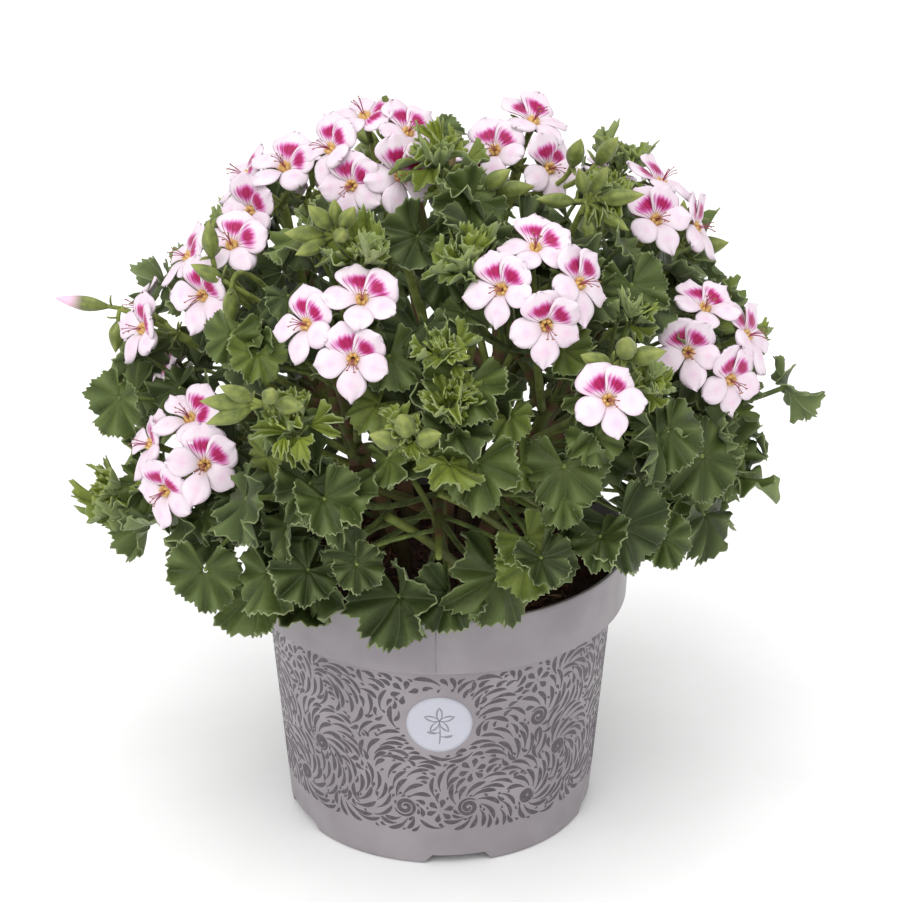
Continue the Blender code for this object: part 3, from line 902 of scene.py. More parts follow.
def onLine(line, share):
    place = share * (len(line) - 1)
    index = min(int(place), len(line) - 2)
    point = line[index].lerp(line[index + 1], place - index)
    return point, (line[index + 1] - line[index]).normalized()


def attachments(targets):  # where each stalk leaves its stem, lowest target first
    owners = [nearestStem(target) for target in targets]
    starts = [None] * len(targets)
    for stem, row in enumerate(stemRows):
        own = sorted((i for i, owner in enumerate(owners) if owner == stem), key=lambda i: targets[i].z)
        for rank, i in enumerate(own):
            point, along = onLine(stemLine(row), 0.18 + 0.80 * (rank + 0.5) / len(own))
            side = targets[i] - point
            side = (side - along * side.dot(along)).normalized()
            starts[i] = point + side * (stems["radius"] + 4 * stems["gap"]) * 0.75
    return starts


def leafPlace(row):
    azimuth, reach, height, width, elevation, turn = row[:6]
    origin = polar(azimuth, reach * mm, pot["height"] + height * mm)
    place = facing(origin, direction(azimuth, elevation), direction(azimuth, elevation - 90), turn)
    return place @ Matrix.Translation((0, -0.12 * width * mm, 0))


def headHub(row):
    middle = polar(row[0], row[1] * mm, pot["height"] + row[2] * mm)
    return middle - direction(row[4], row[5]) * stems["pedicelLength"] * 0.8


def budHub(row):
    return polar(row[0], row[1] * mm, pot["height"] + row[2] * mm)


targets = [leafPlace(row).translation for row in leafRows]
targets += [headHub(row) for row in headRows]
targets += [budHub(row) for row in budRows]
starts = attachments(targets)
leafStarts = starts[: len(leafRows)]
headStarts = starts[len(leafRows) : len(leafRows) + len(headRows)]
budStarts = starts[len(leafRows) + len(headRows) :]


def halfWoodyStem():  # half-woody green stem: dull olive skin going brown near the ground, with leaf scars
    material, tree, shader = startMaterial("halfWoodyStem", {"Roughness": 0.6, "Specular IOR Level": 0.35})
    _, along, scar, _ = readChart(tree)
    place = objectPlace(tree)
    fleck = noiseAt(tree, place, 1.2 * mm, 3)
    skin = blendColour(tree, along, linear("#4a3a26"), linear("#66702f"))
    marked = blendColour(tree, fade(tree, fleck, 0.45, 0.7, 0, 0.5), skin, linear("#3c4a22"))
    scarred = blendColour(tree, scar, marked, linear("#6b4a36"))
    tree.links.new(scarred, shader.inputs["Base Color"])
    tree.links.new(raised(tree, fleck, 0.25 * mm, 0.6), shader.inputs["Normal"])
    return material


def hairyStalk(name, low, high):  # soft green stalk: fine short hairs give it a dull bloom
    surface = {
        "Roughness": 0.55,
        "Specular IOR Level": 0.3,
        "Sheen Weight": 0.15,
        "Sheen Roughness": 0.5,
        "Sheen Tint": linear("#dbe6c2"),
    }
    material, tree, shader = startMaterial(name, surface)
    place = objectPlace(tree)
    cloud = noiseAt(tree, place, 6 * mm, 2)
    hair = noiseAt(tree, place, 0.5 * mm, 2)
    tint = blendColour(tree, fade(tree, cloud, 0.35, 0.65), linear(low), linear(high))
    pale = blendColour(tree, fade(tree, hair, 0.55, 0.75, 0, 0.35), tint, linear("#b9c68e"))
    tree.links.new(pale, shader.inputs["Base Color"])
    tree.links.new(raised(tree, hair, 0.12 * mm, 0.6), shader.inputs["Normal"])
    return material


leafStalk = hairyStalk("hairyLeafStalk", "#4a5728", "#6b7a38")
flowerStalk = hairyStalk("hairyFlowerStalk", "#65722f", "#8a9446")
woodLines = []  # every stem and branch as points, for the loose leaves to find


def makeStem(row):
    foot = stemFoot(row)
    line = [foot - Vector((0, 0, stems["socket"] - stems["gap"])), foot] + stemLine(row, 26)
    points = np.array([tuple(p) for p in line])
    share = np.concatenate([[0, 0], np.linspace(0, 1, len(line) - 2)])
    scar = np.zeros(len(line))
    scar[6::5] = 1  # a leaf scar every fifth ring
    radii = stems["radius"] * (1 - (1 - stems["taper"]) * share) * (1 + 0.10 * scar)
    chart = np.stack([share * 0, np.minimum(share * 1.5, 1), scar], 1)
    radii[-1] *= 0.6
    woodLines.append(points[4:])
    return tubeAlong(points, radii, 14, chart)


crossingStems = [  # start, tip, radius in mm: long soft stems that show in the opening at the front
    ((14, -52, 104), (-16, -84, 146), 1.5),
    ((30, -50, 116), (0, -80, 152), 1.1),
    ((34, -44, 128), (6, -70, 158), 1.1),
    ((4, -56, 112), (-8, -66, 150), 1.0),
]


def makeBranches():  # side shoots between the main stems, for the outer and upper leaves
    rng = np.random.default_rng(31)
    made = []
    for row in stemRows:
        line = stemLine(row, 9)
        for k, spread in enumerate((-38, 0, 38, 14, -20)):
            start = line[3 + k]
            lift = (28, 20, 44, 56, 66)[k] + rng.uniform(-6, 6)
            reach = (86, 92, 84, 68, 50)[k] if row[1] > 20 else (24, 30, 34, 26, 20)[k]
            if row[1] < 20:
                lift += 70
                spread *= 4
            tip = polar(row[0] + spread, reach * mm, pot["height"] + (lift + 22) * mm)
            middle = start.lerp(tip, 0.5) + Vector((0, 0, 9 * mm))
            path = np.array([tuple(p) for p in bend(start, middle, tip, 14)])
            share = np.linspace(0.4, 1, len(path))
            scar = (np.arange(len(path)) % 4 == 2).astype(float)
            radii = np.linspace(1.9, 1.0, len(path)) * mm * (1 + 0.12 * scar)
            made.append(tubeAlong(path, radii, 10, np.stack([share * 0, share, scar], 1)))
            woodLines.append(path)
    for start, tip, radius in crossingStems:
        start, tip = Vector(start) * mm, Vector(tip) * mm
        middle = start.lerp(tip, 0.5) + Vector((2, -3, 5)) * mm
        path = np.array([tuple(p) for p in bend(start, middle, tip, 14)])
        share = np.linspace(0.7, 1, len(path))
        made.append(tubeAlong(path, radius * mm, 10, np.stack([share * 0, share, share * 0], 1)))
    return gathered(made)


wood = halfWoodyStem()
for index, row in enumerate(stemRows, 1):
    buildPiece(f"stem_{index}_bark", makeStem(row), [wood], [f"stem_{index}"])
buildPiece("side_branches", makeBranches(), [wood])
woodPoints = np.concatenate(woodLines)
print("stems grown")


# leaves: kidney-shaped blades with pleats, teeth and a pale rolled margin

leafCut = {
    "lobes": 7,
    "columns": 12,  # per lobe, two to a tooth
    "rings": 8,
    "spread": 300.0,  # degrees that the blade takes up round its stalk
    "thickness": 0.40 * mm,
    "tooth": 0.042,  # share of the blade's radius
    "lobeDepth": 0.085,
    "deepSinus": (0.16, 0.36),  # two of the gaps between lobes go this deep and part the blade in three
    "pleat": 0.66,
    "ruffle": 0.13,
    "saddle": 0.34,
    "dome": (-0.26, 0.34),  # from cupped to domed
    "old": "#222a10",
    "grown": "#52602a",
    "young": "#96a33a",
    "margin": "#98a374",
    "under": "#6d7c51",
}


def bladeShape(width, youth, rng, rings=None, columns=None, fold=None, curl=0.0, lobes=None, sweep=None):
    rings = rings or leafCut["rings"]
    columns = columns or leafCut["columns"]
    lobes = lobes or leafCut["lobes"]
    count = lobes * columns + 1
    column = np.arange(count)
    edge = np.abs(2 * ((column / columns) % 1) - 1)  # 0 on a main vein, 1 between two
    spread = math.radians((sweep or leafCut["spread"]) + rng.uniform(-14, 14))
    angle = (column / (count - 1) - 0.5) * spread
    angle = angle + 0.06 * np.sin(angle * 2 + rng.uniform(0, 6))
    depths = leafCut["lobeDepth"] * rng.uniform(0.2, 1.6, lobes + 1)
    depths[[lobes // 3, lobes - lobes // 3]] = rng.uniform(*leafCut["deepSinus"], 2)
    depth = depths[np.round(column / columns).astype(int)]
    lobeSize = 1 + rng.uniform(-0.09, 0.07, lobes + 1)[np.minimum(column // columns, lobes)]
    outline = (0.92 + 0.08 * np.cos(angle)) * (1 - depth * edge**2.2)
    outline = outline * np.interp(column, column[:: columns // 2], lobeSize[:: columns // 2])
    tooth = np.where(column % 2 == 1, 1.0, -0.7) * leafCut["tooth"] * (1 + 1.4 * max(0, youth - 0.5))
    tooth = tooth * rng.uniform(0.5, 1.5, count)
    share = np.linspace(0.035, 1, rings + 1) ** 0.85
    along, _ = np.meshgrid(share, column, indexing="ij")
    smooth = 1 - (1 - outline) * along**1.3
    far = along * smooth * (1 + tooth * along**7)
    x = far * np.sin(angle)
    y = far * np.cos(angle)
    pleat = leafCut["pleat"] * rng.uniform(0.6, 1.3) * rng.uniform(0.5, 1.5, lobes + 1)
    pleat = np.interp(column, column[:: columns // 2], np.repeat(pleat, 2)[: 2 * lobes + 1])
    z = pleat * 0.5 * far * (edge**0.9 - 0.45) * np.minimum(1, along * 1.6) * (1.15 - 0.35 * along)
    waves = rng.integers(4, 7)
    ruffle = leafCut["ruffle"] * rng.uniform(0.6, 1.6)
    z = z + ruffle * along**2.4 * np.sin(waves * angle + rng.uniform(0, 6))
    z = z + 0.55 * ruffle * along**4 * np.sin((waves * 2 + 5) * angle + rng.uniform(0, 6))
    z = z + 0.012 * along**6 * rng.normal(0, 1, count)
    saddle = leafCut["saddle"] * rng.uniform(0.2, 1.0)
    z = z + saddle * far**1.6 * np.cos(2 * angle + rng.uniform(0, 6))
    z = z + 0.6 * saddle * far**2 * np.cos(3 * angle + rng.uniform(0, 6))
    z = z - (rng.uniform(*leafCut["dome"]) + curl) * far**2
    fold = rng.uniform(-0.25, 0.45) if fold is None else fold
    z = z + fold * np.sqrt(x**2 + 0.01) * along + rng.uniform(-0.2, 0.2) * x * y
    sheet = np.stack([x, y, z], -1) * (width / 2) * mm
    tone = np.full_like(along, youth)
    chart = np.stack([np.broadcast_to(edge, along.shape), along, tone], -1)
    return thickened(sheet, leafCut["thickness"], chart, rng.uniform())


def leafUpperSide():  # upper side of a leaf: fine short hairs over quilted green, with a painted grey highlight where the raised parts would catch light and painted shade in the folds along the main veins
    surface = {
        "Roughness": 0.5,
        "Specular IOR Level": 0.22,
        "Sheen Weight": 0.02,
        "Sheen Roughness": 0.4,
        "Sheen Tint": linear("#e6efd6"),
    }
    material, tree, shader = startMaterial("quiltedLeafTop", surface)
    edge, along, youth, luck = readChart(tree)
    place = objectPlace(tree)
    ages = [(0.0, linear(leafCut["old"])), (0.45, linear(leafCut["grown"])), (1.0, linear(leafCut["young"]))]
    flesh = addNode(tree, "ShaderNodeValToRGB", {"ramp": ages}, {0: youth}).outputs[0]
    cloud = noiseAt(tree, place, 5 * mm, 3)
    shaded = blendColour(tree, fade(tree, cloud, 0.35, 0.7, 0, 0.35), flesh, linear("#353f1c"))
    cool = blendColour(tree, calc(tree, "MULTIPLY", luck, 0.18), shaded, linear("#40552f"))
    vein = fade(tree, calc(tree, "MULTIPLY", edge, along), 0.015, 0.06, 1, 0)
    slant = calc(tree, "SUBTRACT", along, calc(tree, "MULTIPLY", edge, 0.40))
    teeth = calc(tree, "PINGPONG", calc(tree, "MULTIPLY", slant, 6.0), 0.5)  # side veins, about 2 mm apart
    sideVein = calc(tree, "MULTIPLY", fade(tree, teeth, 0.0, 0.10, 1, 0), fade(tree, edge, 0.95, 0.3, 0, 0.8))
    allVeins = calc(tree, "MAXIMUM", vein, sideVein)
    creased = blendColour(tree, calc(tree, "MULTIPLY", sideVein, 0.5), cool, linear("#2f3c1e"))
    veined = blendColour(tree, calc(tree, "MULTIPLY", vein, 0.25), creased, linear("#83934f"))
    # painted highlight: the raised parts between the main veins, far out on the blade, are lightened to
    # grey-green as if catching light
    highlightShare = calc(tree, "MULTIPLY", edge, along)
    paintedRidgeHighlight = blendColour(tree, fade(tree, highlightShare, 0.20, 0.85, 0, 0.34), veined, linear("#7f9058"))
    paintedFoldShade = fade(tree, edge, 0.05, 0.38, 0.42, 0)  # painted shade: the folds along the main veins are darkened as if in their own shadow
    foldShaded = blendColour(tree, paintedFoldShade, paintedRidgeHighlight, linear("#26321a"))
    rim = calc(tree, "MULTIPLY", fade(tree, along, 0.965, 0.99), fade(tree, cloud, 0.3, 0.65, 0.1, 0.85))
    edged = blendColour(tree, rim, foldShaded, linear(leafCut["margin"]))
    tree.links.new(edged, shader.inputs["Base Color"])
    hair = noiseAt(tree, place, 0.45 * mm, 2)  # 0.1 mm hairs, drawn coarse enough to show
    pucker = noiseAt(tree, place, 2.2 * mm, 2)
    low = raised(tree, allVeins, 0.5 * mm, -0.8)
    mid = raised(tree, pucker, 0.7 * mm, 0.55, low)
    tree.links.new(raised(tree, hair, 0.10 * mm, 0.5, mid), shader.inputs["Normal"])
    return material


def leafUnderSide():  # underside: paler, greyer and matt, with the veins standing out
    surface = {"Roughness": 0.65, "Specular IOR Level": 0.25, "Sheen Weight": 0.2, "Sheen Roughness": 0.5}
    material, tree, shader = startMaterial("downyLeafUnderside", surface)
    edge, along, youth, _ = readChart(tree)
    vein = fade(tree, calc(tree, "MULTIPLY", edge, along), 0.015, 0.08, 1, 0)
    cloud = noiseAt(tree, objectPlace(tree), 4 * mm, 2)
    base = blendColour(tree, calc(tree, "MULTIPLY", youth, 0.7), linear(leafCut["under"]), linear("#a3b26a"))
    shaded = blendColour(tree, fade(tree, cloud, 0.35, 0.7, 0, 0.4), base, linear("#66784c"))
    veined = blendColour(tree, calc(tree, "MULTIPLY", vein, 0.6), shaded, linear("#b3c08c"))
    tree.links.new(veined, shader.inputs["Base Color"])
    tree.links.new(raised(tree, vein, 0.6 * mm, 0.8), shader.inputs["Normal"])
    return material


leafSkins = [leafUpperSide(), leafUnderSide(), leafStalk]


def stalkTo(place, start, radius, count=9):  # leaf stalk that comes up under the blade
    end = place.translation.copy()
    out = place.to_3x3() @ Vector((0, 0, 1))
    length = (end - start).length
    middle = end - out * 0.35 * length + Vector((0, 0, 4 * mm))
    path = [tuple(p) for p in bend(start, middle, end, count)]
    path.append(tuple(end + out * 0.25 * mm))
    radii = np.linspace(1.05, 0.85, len(path)) * radius
    radii[-1] *= 0.7
    return inSlot(tubeAlong(path, radii, 8), 2)


def makeHeroLeaves():
    for index, (row, start) in enumerate(zip(leafRows, leafStarts), 1):
        rng = np.random.default_rng(100 + index)
        place = leafPlace(row) @ Matrix.Rotation(math.radians(rng.uniform(-32, 32)), 4, "Y")
        place = place @ Matrix.Rotation(math.radians(rng.uniform(-16, 22)), 4, "X")
        blade = placed(bladeShape(row[3] * 1.08, row[6], rng, rings=9), place)
        stalk = stalkTo(place, start, stems["petioleRadius"])
        buildPiece(f"leaf_{index}_blade", gathered([blade, stalk]), leafSkins, [f"leaf_{index}"])


flowerSpread = {
    "frontHeads": 11,  # they come first in headRows
    "tilts": {1: 0, 2: 34, 3: 42, 4: 50, 5: 56},  # degrees off the axis, by the number of flowers
    "look": 0.62,  # how far a flower looks outwards, as a share of its tilt
    "roll": 12,
    "radius": 12.4,
    "radiusStep": 0.4,
}


def headFlowers(row):  # open flowers spread evenly round the end of their stalk, each looking outwards
    hub = headHub(row)
    axis = direction(row[4], row[5])
    count = row[3]
    tilt = math.radians(flowerSpread["tilts"][count])
    lookTilt = flowerSpread["look"] * tilt
    made = []
    for i in range(count):
        side = facing(Vector(), axis, Vector((0, 0, 1)), 90 + 360 * i / count).to_3x3() @ Vector((0, 1, 0))
        aim = axis * math.cos(tilt) + side * math.sin(tilt)
        look = axis * math.cos(lookTilt) + side * math.sin(lookTilt)
        centre = (hub + aim * stems["pedicelLength"]) / mm
        flat = math.degrees(math.atan2(look.x, -look.y))
        rise = math.degrees(math.asin(max(-1, min(1, look.z))))
        radius = flowerSpread["radius"] + flowerSpread["radiusStep"] * (i % 3)
        made.append((centre.x, centre.y, centre.z, flat, rise, flowerSpread["roll"] * i - 10, radius))
    return made


frontRows = headRows[: flowerSpread["frontHeads"]]
blooms = [flower for row in frontRows for flower in headFlowers(row)]


def nearestWood(point):  # the stem or branch that a loose leaf grows from, a little below and inside it
    wish = np.array((point.x * 0.75, point.y * 0.75, point.z - 14 * mm))
    far = np.linalg.norm(woodPoints - wish, axis=1)
    return Vector(woodPoints[int(np.argmin(far))])


def looseLeaf(row, rng, rings=7, columns=10):
    lean = row[4] + rng.uniform(-6, 24)
    place = leafPlace((*row[:4], lean, row[5] + rng.uniform(-25, 25)))
    place = place @ Matrix.Rotation(math.radians(rng.uniform(-42, 42)), 4, "Y")
    place = place @ Matrix.Rotation(math.radians(rng.uniform(-24, 30)), 4, "X")
    blade = placed(bladeShape(row[3], row[6], rng, rings, columns), place)
    stalk = stalkTo(place, nearestWood(place.translation), 0.75 * mm, 7)
    return gathered([blade, stalk])


canopy = {"middle": 51, "halfHeight": 100, "reach": 106, "top": 143, "backCrown": 134, "crown": 136}
foliage = {  # leaves tried, share of the reach, lowest height in mm, seed, youth, width in mm
    "outer": (128, 0.99, 14, 46, (0.05, 0.6), (18, 30)),
    "back": (120, 1.0, 2, 41, (0.15, 0.6), (24, 31)),
    "inner": (100, 0.80, 8, 42, (0.0, 0.15), (24, 32)),
    "core": (70, 0.52, 4, 44, (0.0, 0.1), (26, 32)),
    "between": (120, 0.91, 26, 43, (0.1, 0.65), (15, 24)),
    "gaps": (64, 0.85, 18, 45, (0.05, 0.35), (19, 26)),
}


def shellReach(height):  # how far the foliage reaches at a height above the rim, in mm
    share = (height - canopy["middle"]) / canopy["halfHeight"]
    return canopy["reach"] * math.sqrt(max(0.02, 1 - share * share))


def fillRows(count, inset, low, seed, youth, widths, keep):
    rng = np.random.default_rng(seed)
    rows = []
    for k in range(count):
        azimuth = (k * 137.5 + rng.uniform(-12, 12)) % 360 - 180
        height = low + (canopy["top"] - low) * ((k + 0.5) / count) ** 1.1 + rng.uniform(-6, 6)
        if not keep(azimuth, height):
            continue
        reach = shellReach(height) * inset * rng.uniform(0.93, 1.03)
        lean = rng.uniform(5, 35) + max(0, (height - 60) * 0.35)
        turn = rng.uniform(-35, 35)
        rows.append((azimuth, reach, height, rng.uniform(*widths), lean, turn, rng.uniform(*youth)))
    return rows


def underCrown(place, crown):  # the plant's outline is a flat arch, highest over the middle of the pot
    return place.z + 0.45 * place.y < crown - 0.0035 * place.x**2


def backOnly(azimuth, height):
    place = polar(azimuth, shellReach(height), height)
    low = underCrown(place, canopy["backCrown"])  # nothing stands above the front's outline
    return abs(azimuth) > (72 if height < 100 else 96) and low


def underOutline(row):
    return underCrown(polar(*row[:3]), canopy["crown"])


def coreOnly(azimuth, height):  # behind the main stems, so that no light shows through the plant
    return abs(azimuth) > 80 and height < 115


def frontOnly(azimuth, height):
    return abs(azimuth) < 95 and insideRoom(azimuth, height)


def insideRoom(azimuth, height):  # the front stays open down to the growing medium and to the stems
    openLow = 10 < azimuth < 85 and height < 24
    openMiddle = -12 < azimuth < 16 and 18 < height < 64
    return not (openLow or openMiddle)


def insideBloom(row):
    place = Vector(polar(row[0], row[1], pot["height"] / mm + row[2]))
    return any((place - Vector(bloom[:3])).length < 12 for bloom in blooms)


def clearOfBlooms(row):  # a leaf that would hang in front of an open flower is left out
    place = np.array(polar(row[0], row[1], pot["height"] / mm + row[2]))
    for x, y, z, azimuth, elevation, _, radius in blooms:
        for way in (direction(azimuth, elevation), direction(0, 24)):
            offset = place - np.array((x, y, z))
            ahead = offset @ np.array(way)
            aside = np.linalg.norm(offset - ahead * np.array(way))
            if -7 < ahead < 60 and aside < radius * 0.75 + row[3] * 0.36:
                return False
    return True


def makeFoliage():
    outer = fillRows(*foliage["outer"], frontOnly)
    outer = [row for row in outer if underOutline(row)]
    groups = {
        "front_left_leaves": [r for r in outer if r[0] < -25],
        "front_leaves": [r for r in outer if -25 <= r[0] <= 25],
        "front_right_leaves": [r for r in outer if r[0] > 25],
    }
    for number, (name, rows) in enumerate(groups.items()):
        rng = np.random.default_rng(200 + number)
        kept = [row for row in rows if clearOfBlooms(row)]
        buildPiece(name, gathered([looseLeaf(row, rng) for row in kept]), leafSkins)
    back = fillRows(*foliage["back"], backOnly)
    inner = fillRows(*foliage["inner"], insideRoom)
    inner = [row for row in inner if underOutline(row)]
    inner += fillRows(*foliage["core"], coreOnly)
    between = fillRows(*foliage["between"], frontOnly)
    between = [row for row in between if underOutline(row)]
    deep = fillRows(*foliage["gaps"], frontOnly)  # they close the gaps
    deep = [row for row in deep if underOutline(row) and not insideBloom(row)]
    for name, rows, seed in (
        ("back_leaves", [row for row in back if clearOfBlooms(row)], 51),
        ("inner_leaves", [row for row in inner if clearOfBlooms(row)] + deep, 52),
        ("between_leaves", [row for row in between if clearOfBlooms(row)], 53),
    ):
        rng = np.random.default_rng(seed)
        halves = [rows[::2], rows[1::2]]
        for part, half in enumerate(halves, 1):
            made = [looseLeaf(row, rng, 6, 8) for row in half]
            buildPiece(f"{name}_{part}", gathered(made), leafSkins)


shootRows = [  # azimuth, reach, height, size, elevation
    (-26, 103, 82, 17, 30),
    (-73, 111, 30, 16, 15),
    (-5, 101, 84, 12, 35),
    (2, 99, 92, 15, 40),
    (-20, 70, 128, 16, 60),
    (46, 84, 105, 14, 45),
    (0, 30, 148, 18, 70),
    (10, 36, 136, 15, 70),
    (7, 73, 127, 17, 55),
    (1, 91, 106, 14, 40),
    (40, 100, 90, 13, 40),
    (60, 60, 134, 15, 60),
    (-88, 108, 55, 13, 10),
    (120, 70, 122, 17, 50),
    (-120, 78, 100, 17, 50),
    (170, 96, 88, 16, 35),
    (95, 104, 70, 16, 30),
    (-155, 100, 84, 16, 35),
]


def makeShoots():  # growing tips: rosettes of small folded bright leaves
    made = []
    for number, (azimuth, reach, height, size, elevation) in enumerate(shootRows):
        rng = np.random.default_rng(300 + number)
        hub = polar(azimuth, reach * mm, pot["height"] + height * mm)
        axis = direction(azimuth, min(86, elevation + 24))
        count = int(rng.integers(12, 17))
        for k in range(count):
            share = (k + 0.5) / count
            tilt = 6 + 66 * share + rng.uniform(-14, 14)
            turn = 137.5 * k + rng.uniform(-35, 35)
            side = facing(Vector(), axis, Vector((0.01, 0, 1)), turn).to_3x3() @ Vector((0, 1, 0))
            lean = math.radians(tilt)
            aim = axis * math.cos(lean) + side * math.sin(lean)
            inner = axis * math.sin(lean) - side * math.cos(lean)  # the blade's upper side looks to the axis
            width = size * (0.75 + 0.5 * share) * rng.uniform(0.75, 1.25)
            origin = hub + aim * size * mm * rng.uniform(0.0, 0.40) - axis * size * 0.30 * mm
            toward = (inner + aim * rng.uniform(-0.3, 0.7)).normalized()
            place = facing(origin, toward, aim, rng.uniform(-30, 30))
            bladeFold, bladeCurl = rng.uniform(0.3, 1.3), rng.uniform(-0.3, 0.3)
            youth = min(1, 0.66 + 0.40 * (1 - share))
            blade = bladeShape(width, youth, rng, 6, 8, bladeFold, bladeCurl, 3, rng.uniform(48, 105))
            made.append(placed(blade, place))
            foot = hub - axis * size * 0.45 * mm
            path = bend(foot, foot.lerp(origin, 0.5) + axis * 0.5 * mm, origin, 5)
            made.append(inSlot(tubeAlong([tuple(p) for p in path], 0.5 * mm, 6), 2))
        foot = hub - axis * size * 0.4 * mm
        root = nearestWood(foot - axis * 10 * mm)
        path = bend(root, foot - axis * (foot - root).length * 0.4, foot + axis * 1.5 * mm, 8)
        made.append(inSlot(tubeAlong([tuple(p) for p in path], np.linspace(1.3, 1.0, 8) * mm, 8), 2))
    half = len(made) // 2
    buildPiece("shoot_tips_1", gathered(made[:half]), leafSkins)
    buildPiece("shoot_tips_2", gathered(made[half:]), leafSkins)


makeHeroLeaves()
makeFoliage()
makeShoots()
print("leaves out")


# flowers: two broad upper petals with a dark blotch and three plainer lower ones

petalCut = {
    "rows": 13,
    "columns": 11,
    "thickness": 0.28 * mm,
    "ground": "#e9dbe4",
    "blush": "#e3c4d9",
    "halo": "#cc35a6",
    "blotch": "#a81256",
    "dark": "#7a0e3c",
    "throat": "#e3b765",
}

petalPlan = [  # turn, length and width by the flower's radius, 1 for an upper petal, tilt
    (46, 0.97, 0.98, 1, 14),
    (-16, 1.02, 1.12, 1, 6),
    (-103, 0.98, 0.76, 0, 6),
    (112, 0.98, 0.76, 0, -6),
    (182, 1.08, 0.72, 0, 0),
]

def petalShape(length, width, upper, pointed, luck, rng):
    rows, columns = petalCut["rows"], petalCut["columns"]
    along = np.linspace(0, 1, rows) ** 0.8
    along[-1] = 0.995
    across = np.linspace(-1, 1, columns)
    widest = 0.60 if upper else 0.58
    rising = 0.14 + 0.86 * np.sin(np.minimum(along / widest, 1) * math.pi / 2) ** (1.25 if upper else 1.4)
    past = np.clip((along - widest) / (1 - widest), 0, 1)
    falling = (1 - past**1.8) ** 0.72 if pointed else np.sqrt(1 - past**2.2)
    half = width / 2 * rising * np.maximum(falling, 0.10)
    v, u = np.meshgrid(along, across, indexing="ij")
    x = u * half[:, None]
    y = length * (0.05 + 0.95 * v) - length * 0.07 * (u**2) * v**3
    cup = rng.uniform(-0.05, 0.16) if upper else rng.uniform(-0.18, 0.10)
    z = length * (-0.34 * np.exp(-7 * v) + cup * v**2)
    z = z - (0.10 if upper else 0.16) * width * u**2 * v * rng.uniform(0.4, 1.2)
    z = z + 0.035 * length * v**3 * np.sin(5.5 * u + rng.uniform(0, 6))
    z = z + 0.022 * length * v**4 * np.sin(11 * u + rng.uniform(0, 6))
    z = z + 0.010 * length * np.cos(u * 9) * v * (1 - v)  # faint folds along the veins
    sheet = np.stack([x, y, z], -1)
    chart = np.stack([u * 0.5 + 0.5, v, np.full_like(v, upper)], -1)
    return thickened(sheet, petalCut["thickness"], chart, luck)


def petalSkin():  # petal: thin silky tissue, white with pink, veins dark towards the throat
    surface = {
        "Roughness": 0.5,
        "Specular IOR Level": 0.3,
        "Sheen Weight": 0.12,
        "Sheen Roughness": 0.4,
        "Subsurface Weight": 0.0,
    }
    material, tree, shader = startMaterial("silkyPetal", surface)
    across, along, upper, luck = readChart(tree)
    place = objectPlace(tree)
    side = calc(tree, "MULTIPLY", calc(tree, "ABSOLUTE", calc(tree, "SUBTRACT", across, 0.5)), 2.0)
    parts = {0: calc(tree, "MULTIPLY", across, 15.0), 1: calc(tree, "MULTIPLY", along, 2.0)}
    parts[2] = calc(tree, "MULTIPLY", luck, 40.0)
    fan = addNode(tree, "ShaderNodeCombineXYZ", {}, parts).outputs[0]  # streaks run along the petal
    noise = addNode(tree, "ShaderNodeTexNoise", {"Scale": 1.0, "Detail": 3.0}, {"Vector": fan})
    streak = noise.outputs["Fac"]
    wide = calc(tree, "DIVIDE", side, 0.60)
    high = calc(tree, "DIVIDE", calc(tree, "SUBTRACT", along, 0.42), 0.18)
    square = calc(tree, "ADD", calc(tree, "MULTIPLY", wide, wide), calc(tree, "MULTIPLY", high, high))
    fray = calc(tree, "MULTIPLY", calc(tree, "SUBTRACT", streak, 0.5), 1.3)
    frayed = calc(tree, "ADD", calc(tree, "SQRT", square), fray)
    core = calc(tree, "MULTIPLY", fade(tree, frayed, 0.50, 1.00, 1, 0), upper)
    halo = calc(tree, "MULTIPLY", fade(tree, frayed, 0.75, 1.55, 1, 0), upper)
    lines = calc(tree, "PINGPONG", calc(tree, "MULTIPLY", across, 7.0), 0.5)  # veins that meet in the throat
    thin = fade(tree, lines, 0.02, 0.16, 1, 0)
    reach = calc(tree, "MULTIPLY", fade(tree, along, 0.06, 0.16), fade(tree, along, 0.42, 0.62, 1, 0))
    veins = calc(tree, "MULTIPLY", calc(tree, "MULTIPLY", thin, reach), calc(tree, "MULTIPLY", upper, 0.85))
    middle = calc(tree, "ABSOLUTE", calc(tree, "SUBTRACT", along, 0.56))  # lower petals: a pink smudge
    smudgeFar = calc(tree, "ADD", middle, calc(tree, "MULTIPLY", side, 0.30))
    rough = calc(tree, "ADD", smudgeFar, calc(tree, "MULTIPLY", streak, 0.2))
    lower = calc(tree, "SUBTRACT", 1.0, upper)
    smudge = calc(tree, "MULTIPLY", fade(tree, rough, 0.10, 0.32, 0.28, 0), lower)
    cloud = noiseAt(tree, place, 5 * mm, 2)
    clouded = fade(tree, cloud, 0.35, 0.75, 0, 0.45)
    ground = blendColour(tree, clouded, linear(petalCut["ground"]), linear(petalCut["blush"]))
    faint = blendColour(tree, smudge, ground, linear("#e9a3d3"))
    pink = blendColour(tree, calc(tree, "MULTIPLY", halo, 0.85), faint, linear(petalCut["halo"]))
    deep = blendColour(tree, core, pink, linear(petalCut["blotch"]))
    lined = blendColour(tree, veins, deep, linear(petalCut["dark"]))
    gold = blendColour(tree, fade(tree, along, 0.05, 0.14, 0.9, 0), lined, linear(petalCut["throat"]))
    tree.links.new(gold, shader.inputs["Base Color"])
    tree.links.new(raised(tree, streak, 0.25 * mm, 0.35), shader.inputs["Normal"])
    return material


